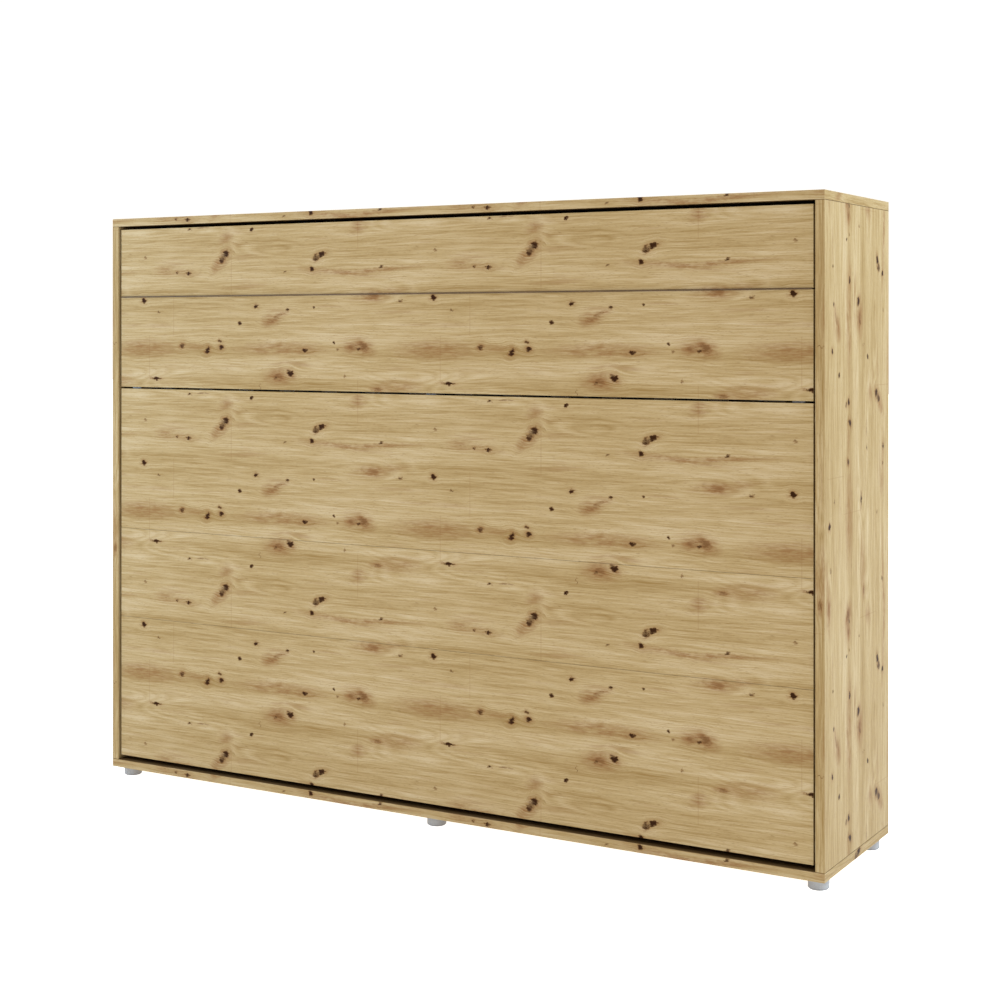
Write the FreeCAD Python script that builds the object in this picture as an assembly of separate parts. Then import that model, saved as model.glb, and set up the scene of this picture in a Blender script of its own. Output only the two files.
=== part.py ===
import FreeCAD, Part
import math
import os

from FreeCAD import Placement, Rotation, Vector

# A horizontal wall bed. A cabinet of oak-decor boards stands on six feet against a wall, and its
# whole front is the underside of a double bed that folds down about a line near the floor.
# Lengths are in millimetres. X runs along the cabinet, Y from the room to the wall, Z up.
# The origin is on the floor under the middle of the cabinet, and the bed is folded away.

# ---- Cabinet ----
CABINET_W = 2110.0
CABINET_D = 457.0
CARCASS_H = 1550.0
BOARD_T = 22.0
EDGE_BREAK = 0.6
FOOT_H = 28.0
FOOT_R = 24.5
FOOT_INSET_X = 32.0
FOOT_INSET_Y = 50.0

# ---- Front boards, which the bed carries on its underside ----
FRONT_T = 18.0
FRONT_RECESS = 5.0
FRONT_SIDE_GAP = 6.0
FRONT_BOTTOM_GAP = 13.0
FRONT_TOP_GAP = 9.0
BOARD_HEIGHTS = (393.0, 249.5, 393.5)
HAIRLINE = 0.5
GRIP_GAP = 5.0

# ---- Leg: the flap board that swings out of the front and stands on the floor ----
LEG_REACH = 253.0
LEG_JOINT = 2.4
GLIDE_T = 1.5
HINGE_PROUD = 1.8
KNUCKLE_R = 1.6
HINGE_PIN_R = 0.8
HINGE_LENGTH = 2050.0
KNUCKLE_PITCH = 50.0
LEAF_T = 0.8

# ---- Steel bed frame ----
TUBE_W = 30.0
TUBE_D = 40.0
TUBE_WALL = 1.5
FRAME_W = 2000.0
FRAME_LOW = 92.0
FRAME_HIGH = 1502.0
SIDE_TUBE_LOW = 66.0

# ---- Bedding ----
MATTRESS = (1990.0, 170.0, 1396.0)
SLATS_PER_ROW = 14
SLAT_PITCH = 140.0
SLAT_W = 53.0
SLAT_T = 8.0

# ---- Running fits ----
FIT = 0.05
PIVOT_R = 10.0

# ---- Gas struts: both ends lie at one radius from the bed's pivot, so that the strut turns by
# exactly half of the bed's angle ----
STRUT_RADIUS = 220.0
STRUT_LEAN = 14.0
STRUT_X = 1016.5
STRUT_BODY_R = 10.0
STRUT_BORE_R = 8.5
STRUT_ROD_R = 5.0
STRUT_BODY_START = 25.0
STRUT_BODY_END = 245.0
STUD_R = 5.0
EYE_R = 9.0
EYE_T = 10.0
NECK_R = 4.0
NECK_L = 14.0

# ---- Leg stays: slotted bars laid out in the same way about the leg's hinge ----
STAY_RADIUS = 121.0
STAY_POST_ANGLE = 25.4
STAY_PIN_ANGLE = 13.4
STAY_W = 14.0
STAY_T = 3.0
STAY_X = 1005.0
STAY_POST_R = 4.0
STAY_PIN_R = 3.0
POST_COLLAR_R = 6.0
POST_COLLAR_T = 3.0
POST_HEAD_R = 6.5
POST_HEAD_T = 1.5
POST_END_X = 1008.5

# ---- Levels worked out from the above ----
X_OUT = CABINET_W / 2
X_WALL = X_OUT - BOARD_T
X_MID_SIDE = X_OUT - BOARD_T / 2
Y_FRONT = -CABINET_D / 2
Y_BACK = CABINET_D / 2
Z_BASE = FOOT_H
Z_IN_LOW = Z_BASE + BOARD_T
Z_TOP = Z_BASE + CARCASS_H
Z_IN_HIGH = Z_TOP - BOARD_T
X_FRONT = X_WALL - FRONT_SIDE_GAP
Y_FACE = Y_FRONT + FRONT_RECESS
Y_TUBE = Y_FACE + FRONT_T
Y_TUBE_BACK = Y_TUBE + TUBE_D
Y_TUBE_MID = Y_TUBE + TUBE_D / 2
Z_BOARDS = Z_IN_LOW + FRONT_BOTTOM_GAP
Z_GRIP = Z_BOARDS + sum(BOARD_HEIGHTS)
Z_HINGE = Z_GRIP + GRIP_GAP + LEG_REACH
Y_HINGE = Y_FACE - HINGE_PROUD
Y_PIVOT = Y_TUBE_MID
Z_PIVOT = LEG_REACH + GLIDE_T + (Y_PIVOT - Y_HINGE)
X_TUBE_OUT = FRAME_W / 2
X_TUBE_IN = X_TUBE_OUT - TUBE_W
X_SIDE_TUBE = X_TUBE_OUT - TUBE_W / 2
RAIL_LEVELS = {
    "lower": FRAME_LOW + TUBE_W / 2,
    "middle": (FRAME_LOW + FRAME_HIGH) / 2,
    "upper": FRAME_HIGH - TUBE_W / 2,
}
SIDES = (("left", -1), ("right", 1))
ALONG_Y = Vector(0, 1, 0)
ALONG_Z = Vector(0, 0, 1)

solids = {}
bores = {}


def add(node, *shapes):
    """Give a node one or more separate solids."""
    solids.setdefault(node, []).extend(shapes)


def drill(cutter, *nodes):
    """Cut a shape out of each of the named nodes when they are written."""
    for node in nodes:
        bores.setdefault(node, []).append(cutter)


def box(x, y, z):
    """A block between the two ends of each range, in whichever order they come."""
    low = Vector(min(x), min(y), min(z))
    return Part.makeBox(abs(x[1] - x[0]), abs(y[1] - y[0]), abs(z[1] - z[0]), low)


def rod(radius, start, end):
    """A round bar from one point to another."""
    span = end.sub(start)
    return Part.makeCylinder(radius, span.Length, start, span)


def board(x, y, z):
    """A panel whose edges are slightly broken, as an edged board's are."""
    blank = box(x, y, z)
    return blank.makeChamfer(EDGE_BREAK, blank.Edges)


def hex_bar(across, start, end):
    """A hexagonal bar along X."""
    corner = across / math.sqrt(3)
    turns = [math.radians(60 * i) for i in range(7)]
    points = [start.add(Vector(0, corner * math.cos(t), corner * math.sin(t))) for t in turns]
    return Part.Face(Part.makePolygon(points)).extrude(end.sub(start))


def screw(at, into, length, shank_r, head_r, head_h):
    """A screw whose head's underside is at a point, with its shank running into the work."""
    shank = Part.makeCylinder(shank_r, length, at, into)
    head = Part.makeCylinder(head_r, head_h, at, into.negative())
    return shank.fuse(head).removeSplitter()


def fasten(group, node_list, at, into, length, shank_r=2.25, head_r=4.5, head_h=2.5):
    """Add a screw to a group and drill its hole through the pieces that it holds."""
    add(group, screw(at, into, length, shank_r, head_r, head_h))
    drill(Part.makeCylinder(shank_r, length, at, into), *node_list)


def lay_along(shape, at, direction):
    """Move a shape built up from the origin along Z to a point, and turn it along a direction."""
    shape.Placement = Placement(at, Rotation(ALONG_Z, direction))
    return shape


# ---- Cabinet ----

BACK_T = 3.0
BACK_Y = 216.5
GROOVE_DEPTH = 4.0
GROOVE_PLAY = 0.2
RAIL_Y = (196.0, 214.0)
RAIL_H = 100.0
STRIP_HALF_W = 10.0
STRIP_FLANGE = 1.2
STRIP_WEB = 1.0
DOWEL_R = 4.0
DOWEL_L = 30.0
DOWEL_IN_RAIL = 20.0


def carcass_panels():
    """Two full-width panels with the side panels standing between them."""
    depth = (Y_FRONT, Y_BACK)
    add("bottom_panel", board((-X_OUT, X_OUT), depth, (Z_BASE, Z_IN_LOW)))
    add("top_panel", board((-X_OUT, X_OUT), depth, (Z_IN_HIGH, Z_TOP)))
    for name, side in SIDES:
        add("side_panel_" + name, board((side * X_WALL, side * X_OUT), depth, (Z_IN_LOW, Z_IN_HIGH)))


def back():
    """Thin back panels in grooves, joined at the middle by a strip, and two stiffening rails."""
    low_x = STRIP_WEB + GROOVE_PLAY
    high_x = X_WALL + GROOVE_DEPTH - GROOVE_PLAY
    z_span = (Z_IN_LOW - GROOVE_DEPTH + GROOVE_PLAY, Z_IN_HIGH + GROOVE_DEPTH - GROOVE_PLAY)
    groove = box(
        (-X_WALL - GROOVE_DEPTH, X_WALL + GROOVE_DEPTH),
        (BACK_Y - GROOVE_PLAY, BACK_Y + BACK_T + GROOVE_PLAY),
        (Z_IN_LOW - GROOVE_DEPTH, Z_IN_HIGH + GROOVE_DEPTH),
    )
    drill(groove, "bottom_panel", "top_panel", "side_panel_left", "side_panel_right")
    for name, side in SIDES:
        add("back_panel_" + name, box((side * low_x, side * high_x), (BACK_Y, BACK_Y + BACK_T), z_span))
    flange_front = BACK_Y - GROOVE_PLAY
    flange_back = BACK_Y + BACK_T + GROOVE_PLAY
    inside = (Z_IN_LOW, Z_IN_HIGH)
    web = box((-STRIP_WEB, STRIP_WEB), (flange_front, flange_back), inside)
    half = (-STRIP_HALF_W, STRIP_HALF_W)
    front_flange = box(half, (flange_front - STRIP_FLANGE, flange_front), inside)
    back_flange = box(half, (flange_back, flange_back + STRIP_FLANGE), inside)
    add("back_joint_strip", web.multiFuse([front_flange, back_flange]).removeSplitter())
    rails = (("rear_rail_bottom", Z_IN_LOW, 1), ("rear_rail_top", Z_IN_HIGH, -1))
    for node, z_edge, up in rails:
        add(node, board((-X_WALL, X_WALL), RAIL_Y, (z_edge, z_edge + up * RAIL_H)))
        for name, side in SIDES:
            for step in (30.0, 70.0):
                start = Vector(side * (X_WALL - DOWEL_IN_RAIL), sum(RAIL_Y) / 2, z_edge + up * step)
                dowel = rod(DOWEL_R, start, start.add(Vector(side * DOWEL_L, 0, 0)))
                add("wooden_dowels", dowel)
                drill(dowel, node, "side_panel_" + name)


def cam_joints():
    """Cam locks, their bolts and dowels, where the side panels meet the top and bottom panels."""
    cam_r = 7.5
    cam_depth = 13.0
    cam_reach = 34.0
    bolt_sunk = 11.0
    dowel_sunk = 12.0
    dowel_reach = 20.0
    for name, side in SIDES:
        side_node = "side_panel_" + name
        for flat_node, z_joint, up in (("bottom_panel", Z_IN_LOW, 1), ("top_panel", Z_IN_HIGH, -1)):
            for y in (-190.0, 0.0, 180.0):
                mouth = Vector(side * X_WALL, y, z_joint + up * cam_reach)
                cam = rod(cam_r, mouth, mouth.add(Vector(side * cam_depth, 0, 0)))
                drill(cam, side_node)
                slot = box((mouth.x, mouth.x + side * 2), (y - 5, y + 5), (mouth.z - 1, mouth.z + 1))
                add("cam_locks", cam.cut(slot))
                root = Vector(side * X_MID_SIDE, y, z_joint - up * bolt_sunk)
                tip = Vector(root.x, y, z_joint + up * (cam_reach - cam_r - 0.5))
                add("cam_bolts", rod(3.0, root, tip))
                drill(rod(3.0, root, tip), flat_node, side_node)
            for y in (-120.0, 110.0):
                root = Vector(side * X_MID_SIDE, y, z_joint - up * dowel_sunk)
                dowel = rod(DOWEL_R, root, Vector(root.x, y, z_joint + up * dowel_reach))
                add("wooden_dowels", dowel)
                drill(dowel, flat_node, side_node)


def feet():
    """Six plastic feet with a bevelled lower edge, each held by one screw from below."""
    bevel = 3.0
    recess_r = 7.0
    recess_depth = 16.0
    rows = (Y_FRONT + FOOT_INSET_Y, Y_BACK - FOOT_INSET_Y)
    columns = (FOOT_INSET_X - X_OUT, 0.0, X_OUT - FOOT_INSET_X)
    for y in rows:
        for x in columns:
            base = Vector(x, y, 0)
            tread = Part.makeCone(FOOT_R - bevel, FOOT_R, bevel, base)
            body = Part.makeCylinder(FOOT_R, FOOT_H - bevel, base.add(Vector(0, 0, bevel)))
            recess = Part.makeCylinder(recess_r, recess_depth, base)
            add("feet", tread.fuse(body).removeSplitter().cut(recess))
            seat = base.add(Vector(0, 0, recess_depth))
            fasten("foot_screws", ["feet", "bottom_panel"], seat, ALONG_Z, 26.0)


def wall_brackets():
    """Angle brackets under the top panel, with a hole each for a screw into the wall."""
    half_w = 30.0
    leaf = 3.0
    leg = 60.0
    flat_leg = 40.0
    bracket_x = 700.0
    hole_r = 4.0
    screw_from_rail = 22.0
    for name, side in SIDES:
        node = "wall_brackets"
        x = side * bracket_x
        y_front = RAIL_Y[0] - leaf
        upright = box((x - half_w, x + half_w), (y_front, RAIL_Y[0]), (Z_IN_HIGH - leg, Z_IN_HIGH))
        flat = box((x - half_w, x + half_w), (y_front - flat_leg, RAIL_Y[0]), (Z_IN_HIGH - leaf, Z_IN_HIGH))
        add(node, upright.fuse(flat).removeSplitter())
        hole_start = Vector(x, y_front, Z_IN_HIGH - 2 * leg / 3)
        hole = rod(hole_r, hole_start, Vector(x, Y_BACK, hole_start.z))
        drill(hole, node, "rear_rail_top", "back_panel_" + name)
        for dx in (-18.0, 18.0):
            head_at = Vector(x + dx, y_front - screw_from_rail, Z_IN_HIGH - leaf)
            fasten("hardware_screws", [node, "top_panel"], head_at, ALONG_Z, 18.0)


# ---- The bed's pivot and its gas struts ----

PLATE_T = 5.0
BRACKET_T = 4.0
BUSH_R = 13.0
BUSH_FLANGE_R = 15.0
BUSH_FLANGE_T = 4.0
PLATE_Y = (-206.0, -130.0)
PLATE_HALF_H = 50.0
PLATE_CORNER = 8.0
ARM_HALF_H = 45.0


def pivots():
    """Pivot plates with plastic bushes on the cabinet, and pivot pins on the bed's side tubes."""
    for name, side in SIDES:
        out = Vector(side, 0, 0)
        side_node = "side_panel_" + name
        plate_node = "pivot_plates"
        x_plate = X_WALL - PLATE_T
        plate_z = (Z_PIVOT - PLATE_HALF_H, Z_PIVOT + PLATE_HALF_H)
        plate = box((side * x_plate, side * X_WALL), PLATE_Y, plate_z)
        corners = [e for e in plate.Edges if abs(e.Length - PLATE_T) < 0.01]
        add(plate_node, plate.makeFillet(PLATE_CORNER, corners))
        for y in (PLATE_Y[0] + 10, PLATE_Y[1] - 10):
            for dz in (-38.0, 38.0):
                head_at = Vector(side * x_plate, y, Z_PIVOT + dz)
                group = "hardware_screws"
                fasten(group, [plate_node, side_node], head_at, out, 20.0, 2.5, 4.5, 0.8)
        at_plate = Vector(side * x_plate, Y_PIVOT, Z_PIVOT)
        at_wall = Vector(side * X_WALL, Y_PIVOT, Z_PIVOT)
        sleeve = rod(BUSH_R, at_plate, at_wall)
        drill(sleeve, plate_node)
        flange = Part.makeCylinder(BUSH_FLANGE_R, BUSH_FLANGE_T, at_plate, out.negative())
        bush = sleeve.fuse(flange).removeSplitter()
        through = rod(PIVOT_R + FIT, Vector(0, Y_PIVOT, Z_PIVOT), at_wall)
        add("pivot_bushes", bush.cut(through))
        x_face = X_TUBE_OUT + BRACKET_T
        arm_y = (Y_TUBE + 2, Y_TUBE_BACK - 2)
        arm_z = (Z_PIVOT - ARM_HALF_H, Z_PIVOT + ARM_HALF_H)
        arm = box((side * X_TUBE_OUT, side * x_face), arm_y, arm_z)
        pin_end = at_wall.sub(Vector(side * 0.5, 0, 0))
        pin = rod(PIVOT_R, Vector(side * x_face, Y_PIVOT, Z_PIVOT), pin_end)
        add("bed_pivot_brackets", arm.fuse(pin).removeSplitter())
        for dz in (-30.0, 30.0):
            head_at = Vector(side * x_face, Y_PIVOT, Z_PIVOT + dz)
            held = ["bed_pivot_brackets", "frame_tube_" + name]
            fasten("frame_bolts", held, head_at, Vector(-side, 0, 0), 14.0, 4.0, 6.5, 2.0)


def strut_eye():
    """The eye at a strut's end, with its bore along X and its neck along Z."""
    ring = rod(EYE_R, Vector(-EYE_T / 2, 0, 0), Vector(EYE_T / 2, 0, 0))
    neck = rod(NECK_R, Vector(0, 0, 0), Vector(0, 0, NECK_L))
    hole = rod(STUD_R + FIT, Vector(-EYE_T, 0, 0), Vector(EYE_T, 0, 0))
    return ring.fuse(neck).cut(hole)


def struts():
    """A gas strut each side, from a stud on the cabinet wall to a stud on the bed's side tube."""
    lean = math.radians(STRUT_LEAN)
    y_anchor = Y_PIVOT + STRUT_RADIUS * math.sin(lean)
    z_anchor = Z_PIVOT + STRUT_RADIUS * math.cos(lean)
    z_stud = Z_PIVOT - STRUT_RADIUS
    closed_length = math.hypot(y_anchor - Y_PIVOT, z_anchor - z_stud)
    gland = 7.0
    end_wall = 4.0
    piston_t = 10.0
    piston_from_gland = 25.0
    rod_length = closed_length - (STRUT_BODY_END - gland - piston_from_gland)
    for name, side in SIDES:
        x = side * STRUT_X
        anchor = Vector(x, y_anchor, z_anchor)
        stud = Vector(x, Y_PIVOT, z_stud)
        to_stud = stud.sub(anchor)
        neck = rod(NECK_R, Vector(0, 0, EYE_R - 1), Vector(0, 0, STRUT_BODY_START))
        hole = rod(STUD_R + FIT, Vector(-EYE_T, 0, 0), Vector(EYE_T, 0, 0))
        barrel = rod(STRUT_BODY_R, Vector(0, 0, STRUT_BODY_START), Vector(0, 0, STRUT_BODY_END))
        bore_end = STRUT_BODY_END - gland
        bore = rod(STRUT_BORE_R, Vector(0, 0, STRUT_BODY_START + end_wall), Vector(0, 0, bore_end))
        mouth = rod(STRUT_ROD_R + FIT, Vector(0, 0, bore_end - 1), Vector(0, 0, STRUT_BODY_END + 1))
        cylinder = strut_eye().multiFuse([neck.cut(hole), barrel]).cut([bore, mouth])
        add("strut_cylinder_" + name, lay_along(cylinder.removeSplitter(), anchor, to_stud))
        shaft = rod(STRUT_ROD_R, Vector(0, 0, NECK_L), Vector(0, 0, rod_length))
        piston = rod(STRUT_BORE_R - 0.1, Vector(0, 0, rod_length - piston_t), Vector(0, 0, rod_length))
        plunger = strut_eye().multiFuse([shaft, piston]).removeSplitter()
        add("strut_rod_" + name, lay_along(plunger, stud, to_stud.negative()))
        strut_studs(name, side, anchor, stud)


def strut_studs(name, side, anchor, stud):
    """The studs that the two eyes turn on, each with a retaining clip."""
    plate_x = X_WALL - 4.0
    plate_half_w = 25.0
    plate_half_h = 30.0
    clip_t = 1.5
    clip_r = 7.5
    tail = 0.5
    half_eye = EYE_T / 2 + 1.0

    def beside(point, x):
        """The point at the same height and depth, at another place along the cabinet."""
        return Vector(side * x, point.y, point.z)

    plate_y = (anchor.y - plate_half_w, anchor.y + plate_half_w)
    plate_z = (anchor.z - plate_half_h, anchor.z + plate_half_h)
    plate = box((side * plate_x, side * X_WALL), plate_y, plate_z)
    inner_end = STRUT_X - half_eye - clip_t - tail
    post = rod(STUD_R, beside(anchor, plate_x), beside(anchor, inner_end))
    add("strut_anchors", plate.fuse(post).removeSplitter())
    clip_x = STRUT_X - half_eye
    clip = rod(clip_r, beside(anchor, clip_x), beside(anchor, clip_x - clip_t))
    add("strut_clips_cabinet", clip.cut(post))
    for dy in (-17.0, 17.0):
        for dz in (-20.0, 20.0):
            head_at = Vector(side * plate_x, anchor.y + dy, anchor.z + dz)
            held = ["strut_anchors", "side_panel_" + name]
            fasten("hardware_screws", held, head_at, Vector(side, 0, 0), 18.0, 2.25, 4.0, 1.2)
    base = hex_bar(14.0, beside(stud, X_TUBE_OUT), beside(stud, X_TUBE_OUT + 4))
    outer_end = STRUT_X + half_eye + clip_t + tail
    shank = rod(STUD_R, beside(stud, X_TUBE_OUT - 12), beside(stud, outer_end))
    drill(shank, "frame_tube_" + name)
    add("strut_studs", base.fuse(shank).removeSplitter())
    clip_x = STRUT_X + half_eye
    clip = rod(clip_r, beside(stud, clip_x), beside(stud, clip_x + clip_t))
    add("strut_clips_bed", clip.cut(shank))


STOP_Z = 1430.0
TAB_Y = Y_TUBE_BACK - 6.5
TAB_T = 3.0
TAB_X = 1024.0
TAB_HALF_H = 12.0
TAB_ROOT = 25.0


def closing_stops():
    """Rubber bumpers near the cabinet's top that tabs on the bed's side tubes rest on."""
    z = STOP_Z
    rubber_h = 12.0
    rubber_r = 9.0
    rubber_x = 1016.0
    shelf_x = 1003.0
    shelf_half_h = 20.0
    plate_t = 3.0
    flange_l = 45.0
    face_y = TAB_Y + TAB_T
    foot_y = face_y + rubber_h
    for name, side in SIDES:
        centre_x = side * rubber_x
        rubber = rod(rubber_r, Vector(centre_x, face_y, z), Vector(centre_x, foot_y, z))
        add("closing_bumpers", rubber)
        node = "bumper_brackets"
        z_span = (z - shelf_half_h, z + shelf_half_h)
        flange_x = X_WALL - plate_t
        shelf = box((side * shelf_x, side * X_WALL), (foot_y, foot_y + plate_t), z_span)
        flange = box((side * flange_x, side * X_WALL), (foot_y, foot_y + flange_l), z_span)
        add(node, shelf.fuse(flange).removeSplitter())
        for dy in (16.0, 34.0):
            head_at = Vector(side * flange_x, foot_y + dy, z)
            held = [node, "side_panel_" + name]
            fasten("hardware_screws", held, head_at, Vector(side, 0, 0), 18.0)


def stop_tab(side):
    """The tab on a side tube that meets the rubber bumper."""
    back = TAB_Y + TAB_T
    z_span = (STOP_Z - TAB_HALF_H, STOP_Z + TAB_HALF_H)
    tab = box((side * X_TUBE_OUT, side * TAB_X), (TAB_Y, back), z_span)
    root = box((side * X_TUBE_OUT, side * (X_TUBE_OUT + TAB_T)), (TAB_Y - TAB_ROOT, back), z_span)
    return tab.fuse(root)


# ---- Bed ----

def tube_shell(x, y, z, along):
    """A rectangular tube: the outer block less a core that runs out at both ends of one axis."""
    ranges = []
    for axis, span in enumerate((x, y, z)):
        inset = -1.0 if axis == along else TUBE_WALL
        ranges.append((min(span) + inset, max(span) - inset))
    return box(x, y, z).cut(box(*ranges))


def stay_point(angle):
    """A point of the leg stay, by its angle behind the vertical below the leg's hinge."""
    turn = math.radians(angle)
    return Y_HINGE + STAY_RADIUS * math.sin(turn), Z_HINGE - STAY_RADIUS * math.cos(turn)


def stay_post(side):
    """The headed post on a side tube that runs in the leg stay's slot."""
    y, z = stay_point(STAY_POST_ANGLE)
    face = Vector(side * X_TUBE_OUT, y, z)
    collar = rod(POST_COLLAR_R, face, Vector(side * (X_TUBE_OUT + POST_COLLAR_T), y, z))
    end = Vector(side * POST_END_X, y, z)
    post = rod(STAY_POST_R, face, end)
    head = rod(POST_HEAD_R, Vector(side * (POST_END_X - POST_HEAD_T), y, z), end)
    return collar.multiFuse([post, head])


def frame_tubes():
    """Three uprights behind the front boards. The side ones carry the stop tabs and stay posts."""
    depth = (Y_TUBE, Y_TUBE_BACK)
    height = (SIDE_TUBE_LOW, FRAME_HIGH)
    middle = tube_shell((-TUBE_W / 2, TUBE_W / 2), depth, height, 2)
    add("frame_tube_middle", middle)
    for name, side in SIDES:
        upright = tube_shell((side * X_TUBE_IN, side * X_TUBE_OUT), depth, height, 2)
        add("frame_tube_" + name, upright.multiFuse([stop_tab(side), stay_post(side)]).removeSplitter())
    cap_t = 2.0
    play = 0.2
    plug = 3.0
    for x in (-X_SIDE_TUBE, 0.0, X_SIDE_TUBE):
        half = TUBE_W / 2
        inner = half - TUBE_WALL - play
        inner_y = (Y_TUBE + TUBE_WALL + play, Y_TUBE_BACK - TUBE_WALL - play)
        for z_end, up in ((SIDE_TUBE_LOW, -1), (FRAME_HIGH, 1)):
            cap = box((x - half, x + half), depth, (z_end, z_end + up * cap_t))
            core = box((x - inner, x + inner), inner_y, (z_end, z_end - up * plug))
            add("tube_end_caps", cap.fuse(core).removeSplitter())


def frame_rails():
    """Three levels of rails between the uprights, closed by end plates and bolted through."""
    end_plate = 3.0
    bolt_r = 4.0
    bolt_l = 45.0
    nut_t = 6.0
    middle_bolt_half = 28.0
    depth = (Y_TUBE, Y_TUBE_BACK)
    core_y = (Y_TUBE + TUBE_WALL, Y_TUBE_BACK - TUBE_WALL)
    for level, z in RAIL_LEVELS.items():
        height = (z - TUBE_W / 2, z + TUBE_W / 2)
        core_z = (height[0] + TUBE_WALL, height[1] - TUBE_WALL)
        studs = []
        for name, side in SIDES:
            inner_x = TUBE_W / 2
            outer = box((side * inner_x, side * X_TUBE_IN), depth, height)
            core = box((side * (inner_x + end_plate), side * (X_TUBE_IN - end_plate)), core_y, core_z)
            node = "frame_rail_" + level
            add(node, outer.cut(core))
            head_at = Vector(side * X_TUBE_OUT, Y_TUBE_MID, z)
            held = ["frame_tube_" + name, node]
            fasten("frame_bolts", held, head_at, Vector(-side, 0, 0), bolt_l, bolt_r, 6.5, 2.4)
            nut_x = X_TUBE_IN - end_plate
            studs.append((side * nut_x, side * (nut_x - nut_t)))
            studs.append((side * (inner_x + end_plate), side * (inner_x + end_plate + nut_t)))
        middle_end = Vector(middle_bolt_half, Y_TUBE_MID, z)
        stud = rod(bolt_r, Vector(-middle_bolt_half, Y_TUBE_MID, z), middle_end)
        add("frame_bolts", stud)
        drill(stud, "frame_tube_middle", "frame_rail_" + level)
        for start, end in studs:
            near = Vector(start, Y_TUBE_MID, z)
            far = Vector(end, Y_TUBE_MID, z)
            add("frame_nuts", hex_bar(13.0, near, far).cut(rod(bolt_r, near, far)))


def front_boards():
    """The boards fixed to the frame's underside: three below the leg, and one above it."""
    width = (-X_FRONT, X_FRONT)
    depth = (Y_FACE, Y_TUBE)
    z = Z_BOARDS
    spans = {}
    for index, node in enumerate(("front_board_lower", "front_board_middle", "front_board_upper")):
        low = z + (HAIRLINE / 2 if index > 0 else 0)
        z += BOARD_HEIGHTS[index]
        spans[node] = (low, z - (HAIRLINE / 2 if index < 2 else 0))
    spans["front_board_top"] = (Z_HINGE + LEG_JOINT / 2, Z_IN_HIGH - FRONT_TOP_GAP)
    screw_levels = {
        "front_board_lower": (143.0, 396.0),
        "front_board_middle": (516.0, 646.0),
        "front_board_upper": (766.0, 1039.0),
        "front_board_top": (1403.0, 1455.0),
    }
    for node, span in spans.items():
        add(node, board(width, depth, span))
        for tube, x in (("left", -X_SIDE_TUBE), ("middle", 0.0), ("right", X_SIDE_TUBE)):
            for level in screw_levels[node]:
                head_at = Vector(x, Y_TUBE_BACK, level)
                held = ["frame_tube_" + tube, node]
                fasten("board_screws", held, head_at, Vector(0, -1, 0), TUBE_D + 12, 2.5, 5.0, 2.0)


SLAT_Y = 4.5
HOLDER_T = 14.0
HOLDER_W = 64.0
POCKET_PLAY = 0.3
SLAT_EDGE_R = 2.5
SLAT_PAST_RAIL = 9.0
SLAT_FROM_MID = 2.5
HOLDER_PAST_RAIL = 14.0
HOLDER_REACH = 28.0
HOLDER_MID_HALF = 35.0
HOLDER_CORNER = 4.0


def slats():
    """Two rows of sprung slats, each end in a plastic holder on a rail."""
    y_low = Y_TUBE_BACK + SLAT_Y
    slat_depth = (y_low, y_low + SLAT_T)
    holder_depth = (Y_TUBE_BACK, Y_TUBE_BACK + HOLDER_T)
    low = RAIL_LEVELS["lower"]
    mid = RAIL_LEVELS["middle"]
    high = RAIL_LEVELS["upper"]
    rows = (
        (low - SLAT_PAST_RAIL, mid - SLAT_FROM_MID),
        (mid + SLAT_FROM_MID, high + SLAT_PAST_RAIL),
    )
    holders = (
        (low - HOLDER_PAST_RAIL, low + HOLDER_REACH),
        (mid - HOLDER_MID_HALF, mid + HOLDER_MID_HALF),
        (high - HOLDER_REACH, high + HOLDER_PAST_RAIL),
    )
    first = -SLAT_PITCH * (SLATS_PER_ROW - 1) / 2
    for index in range(SLATS_PER_ROW):
        x = first + index * SLAT_PITCH
        half = SLAT_W / 2
        pockets = []
        for span in rows:
            slat = box((x - half, x + half), slat_depth, span)
            long_edges = [e for e in slat.Edges if e.Length > 600]
            add("slats", slat.makeFillet(SLAT_EDGE_R, long_edges))
            play_y = (slat_depth[0] - POCKET_PLAY, slat_depth[1] + POCKET_PLAY)
            play_z = (span[0] - POCKET_PLAY, span[1] + POCKET_PLAY)
            pockets.append(box((x - half - POCKET_PLAY, x + half + POCKET_PLAY), play_y, play_z))
        for span in holders:
            cap = box((x - HOLDER_W / 2, x + HOLDER_W / 2), holder_depth, span)
            corners = [e for e in cap.Edges if abs(e.Length - HOLDER_T) < 0.01]
            add("slat_holders", cap.makeFillet(HOLDER_CORNER, corners).cut(pockets))


STRAP_X = 620.0
STRAP_W = 40.0
STRAP_T = 2.0
STRAP_BEND_R = 22.0
MATTRESS_EDGE_R = 28.0
MATTRESS_PLAY = 2.0
BUCKLE_W = 54.0
BUCKLE_H = 62.0
BUCKLE_RISE = 12.0
BUCKLE_BELOW_MIDDLE = 120.0
RETAINER_X = 330.0


def round_back(block, radius):
    """Round the two edges across the strap on the side away from the slats."""
    across = [e for e in block.Edges if abs(e.Length - STRAP_W) < 0.01]
    return block.makeFillet(radius, [e for e in across if e.CenterOfMass.y > 0])


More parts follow.
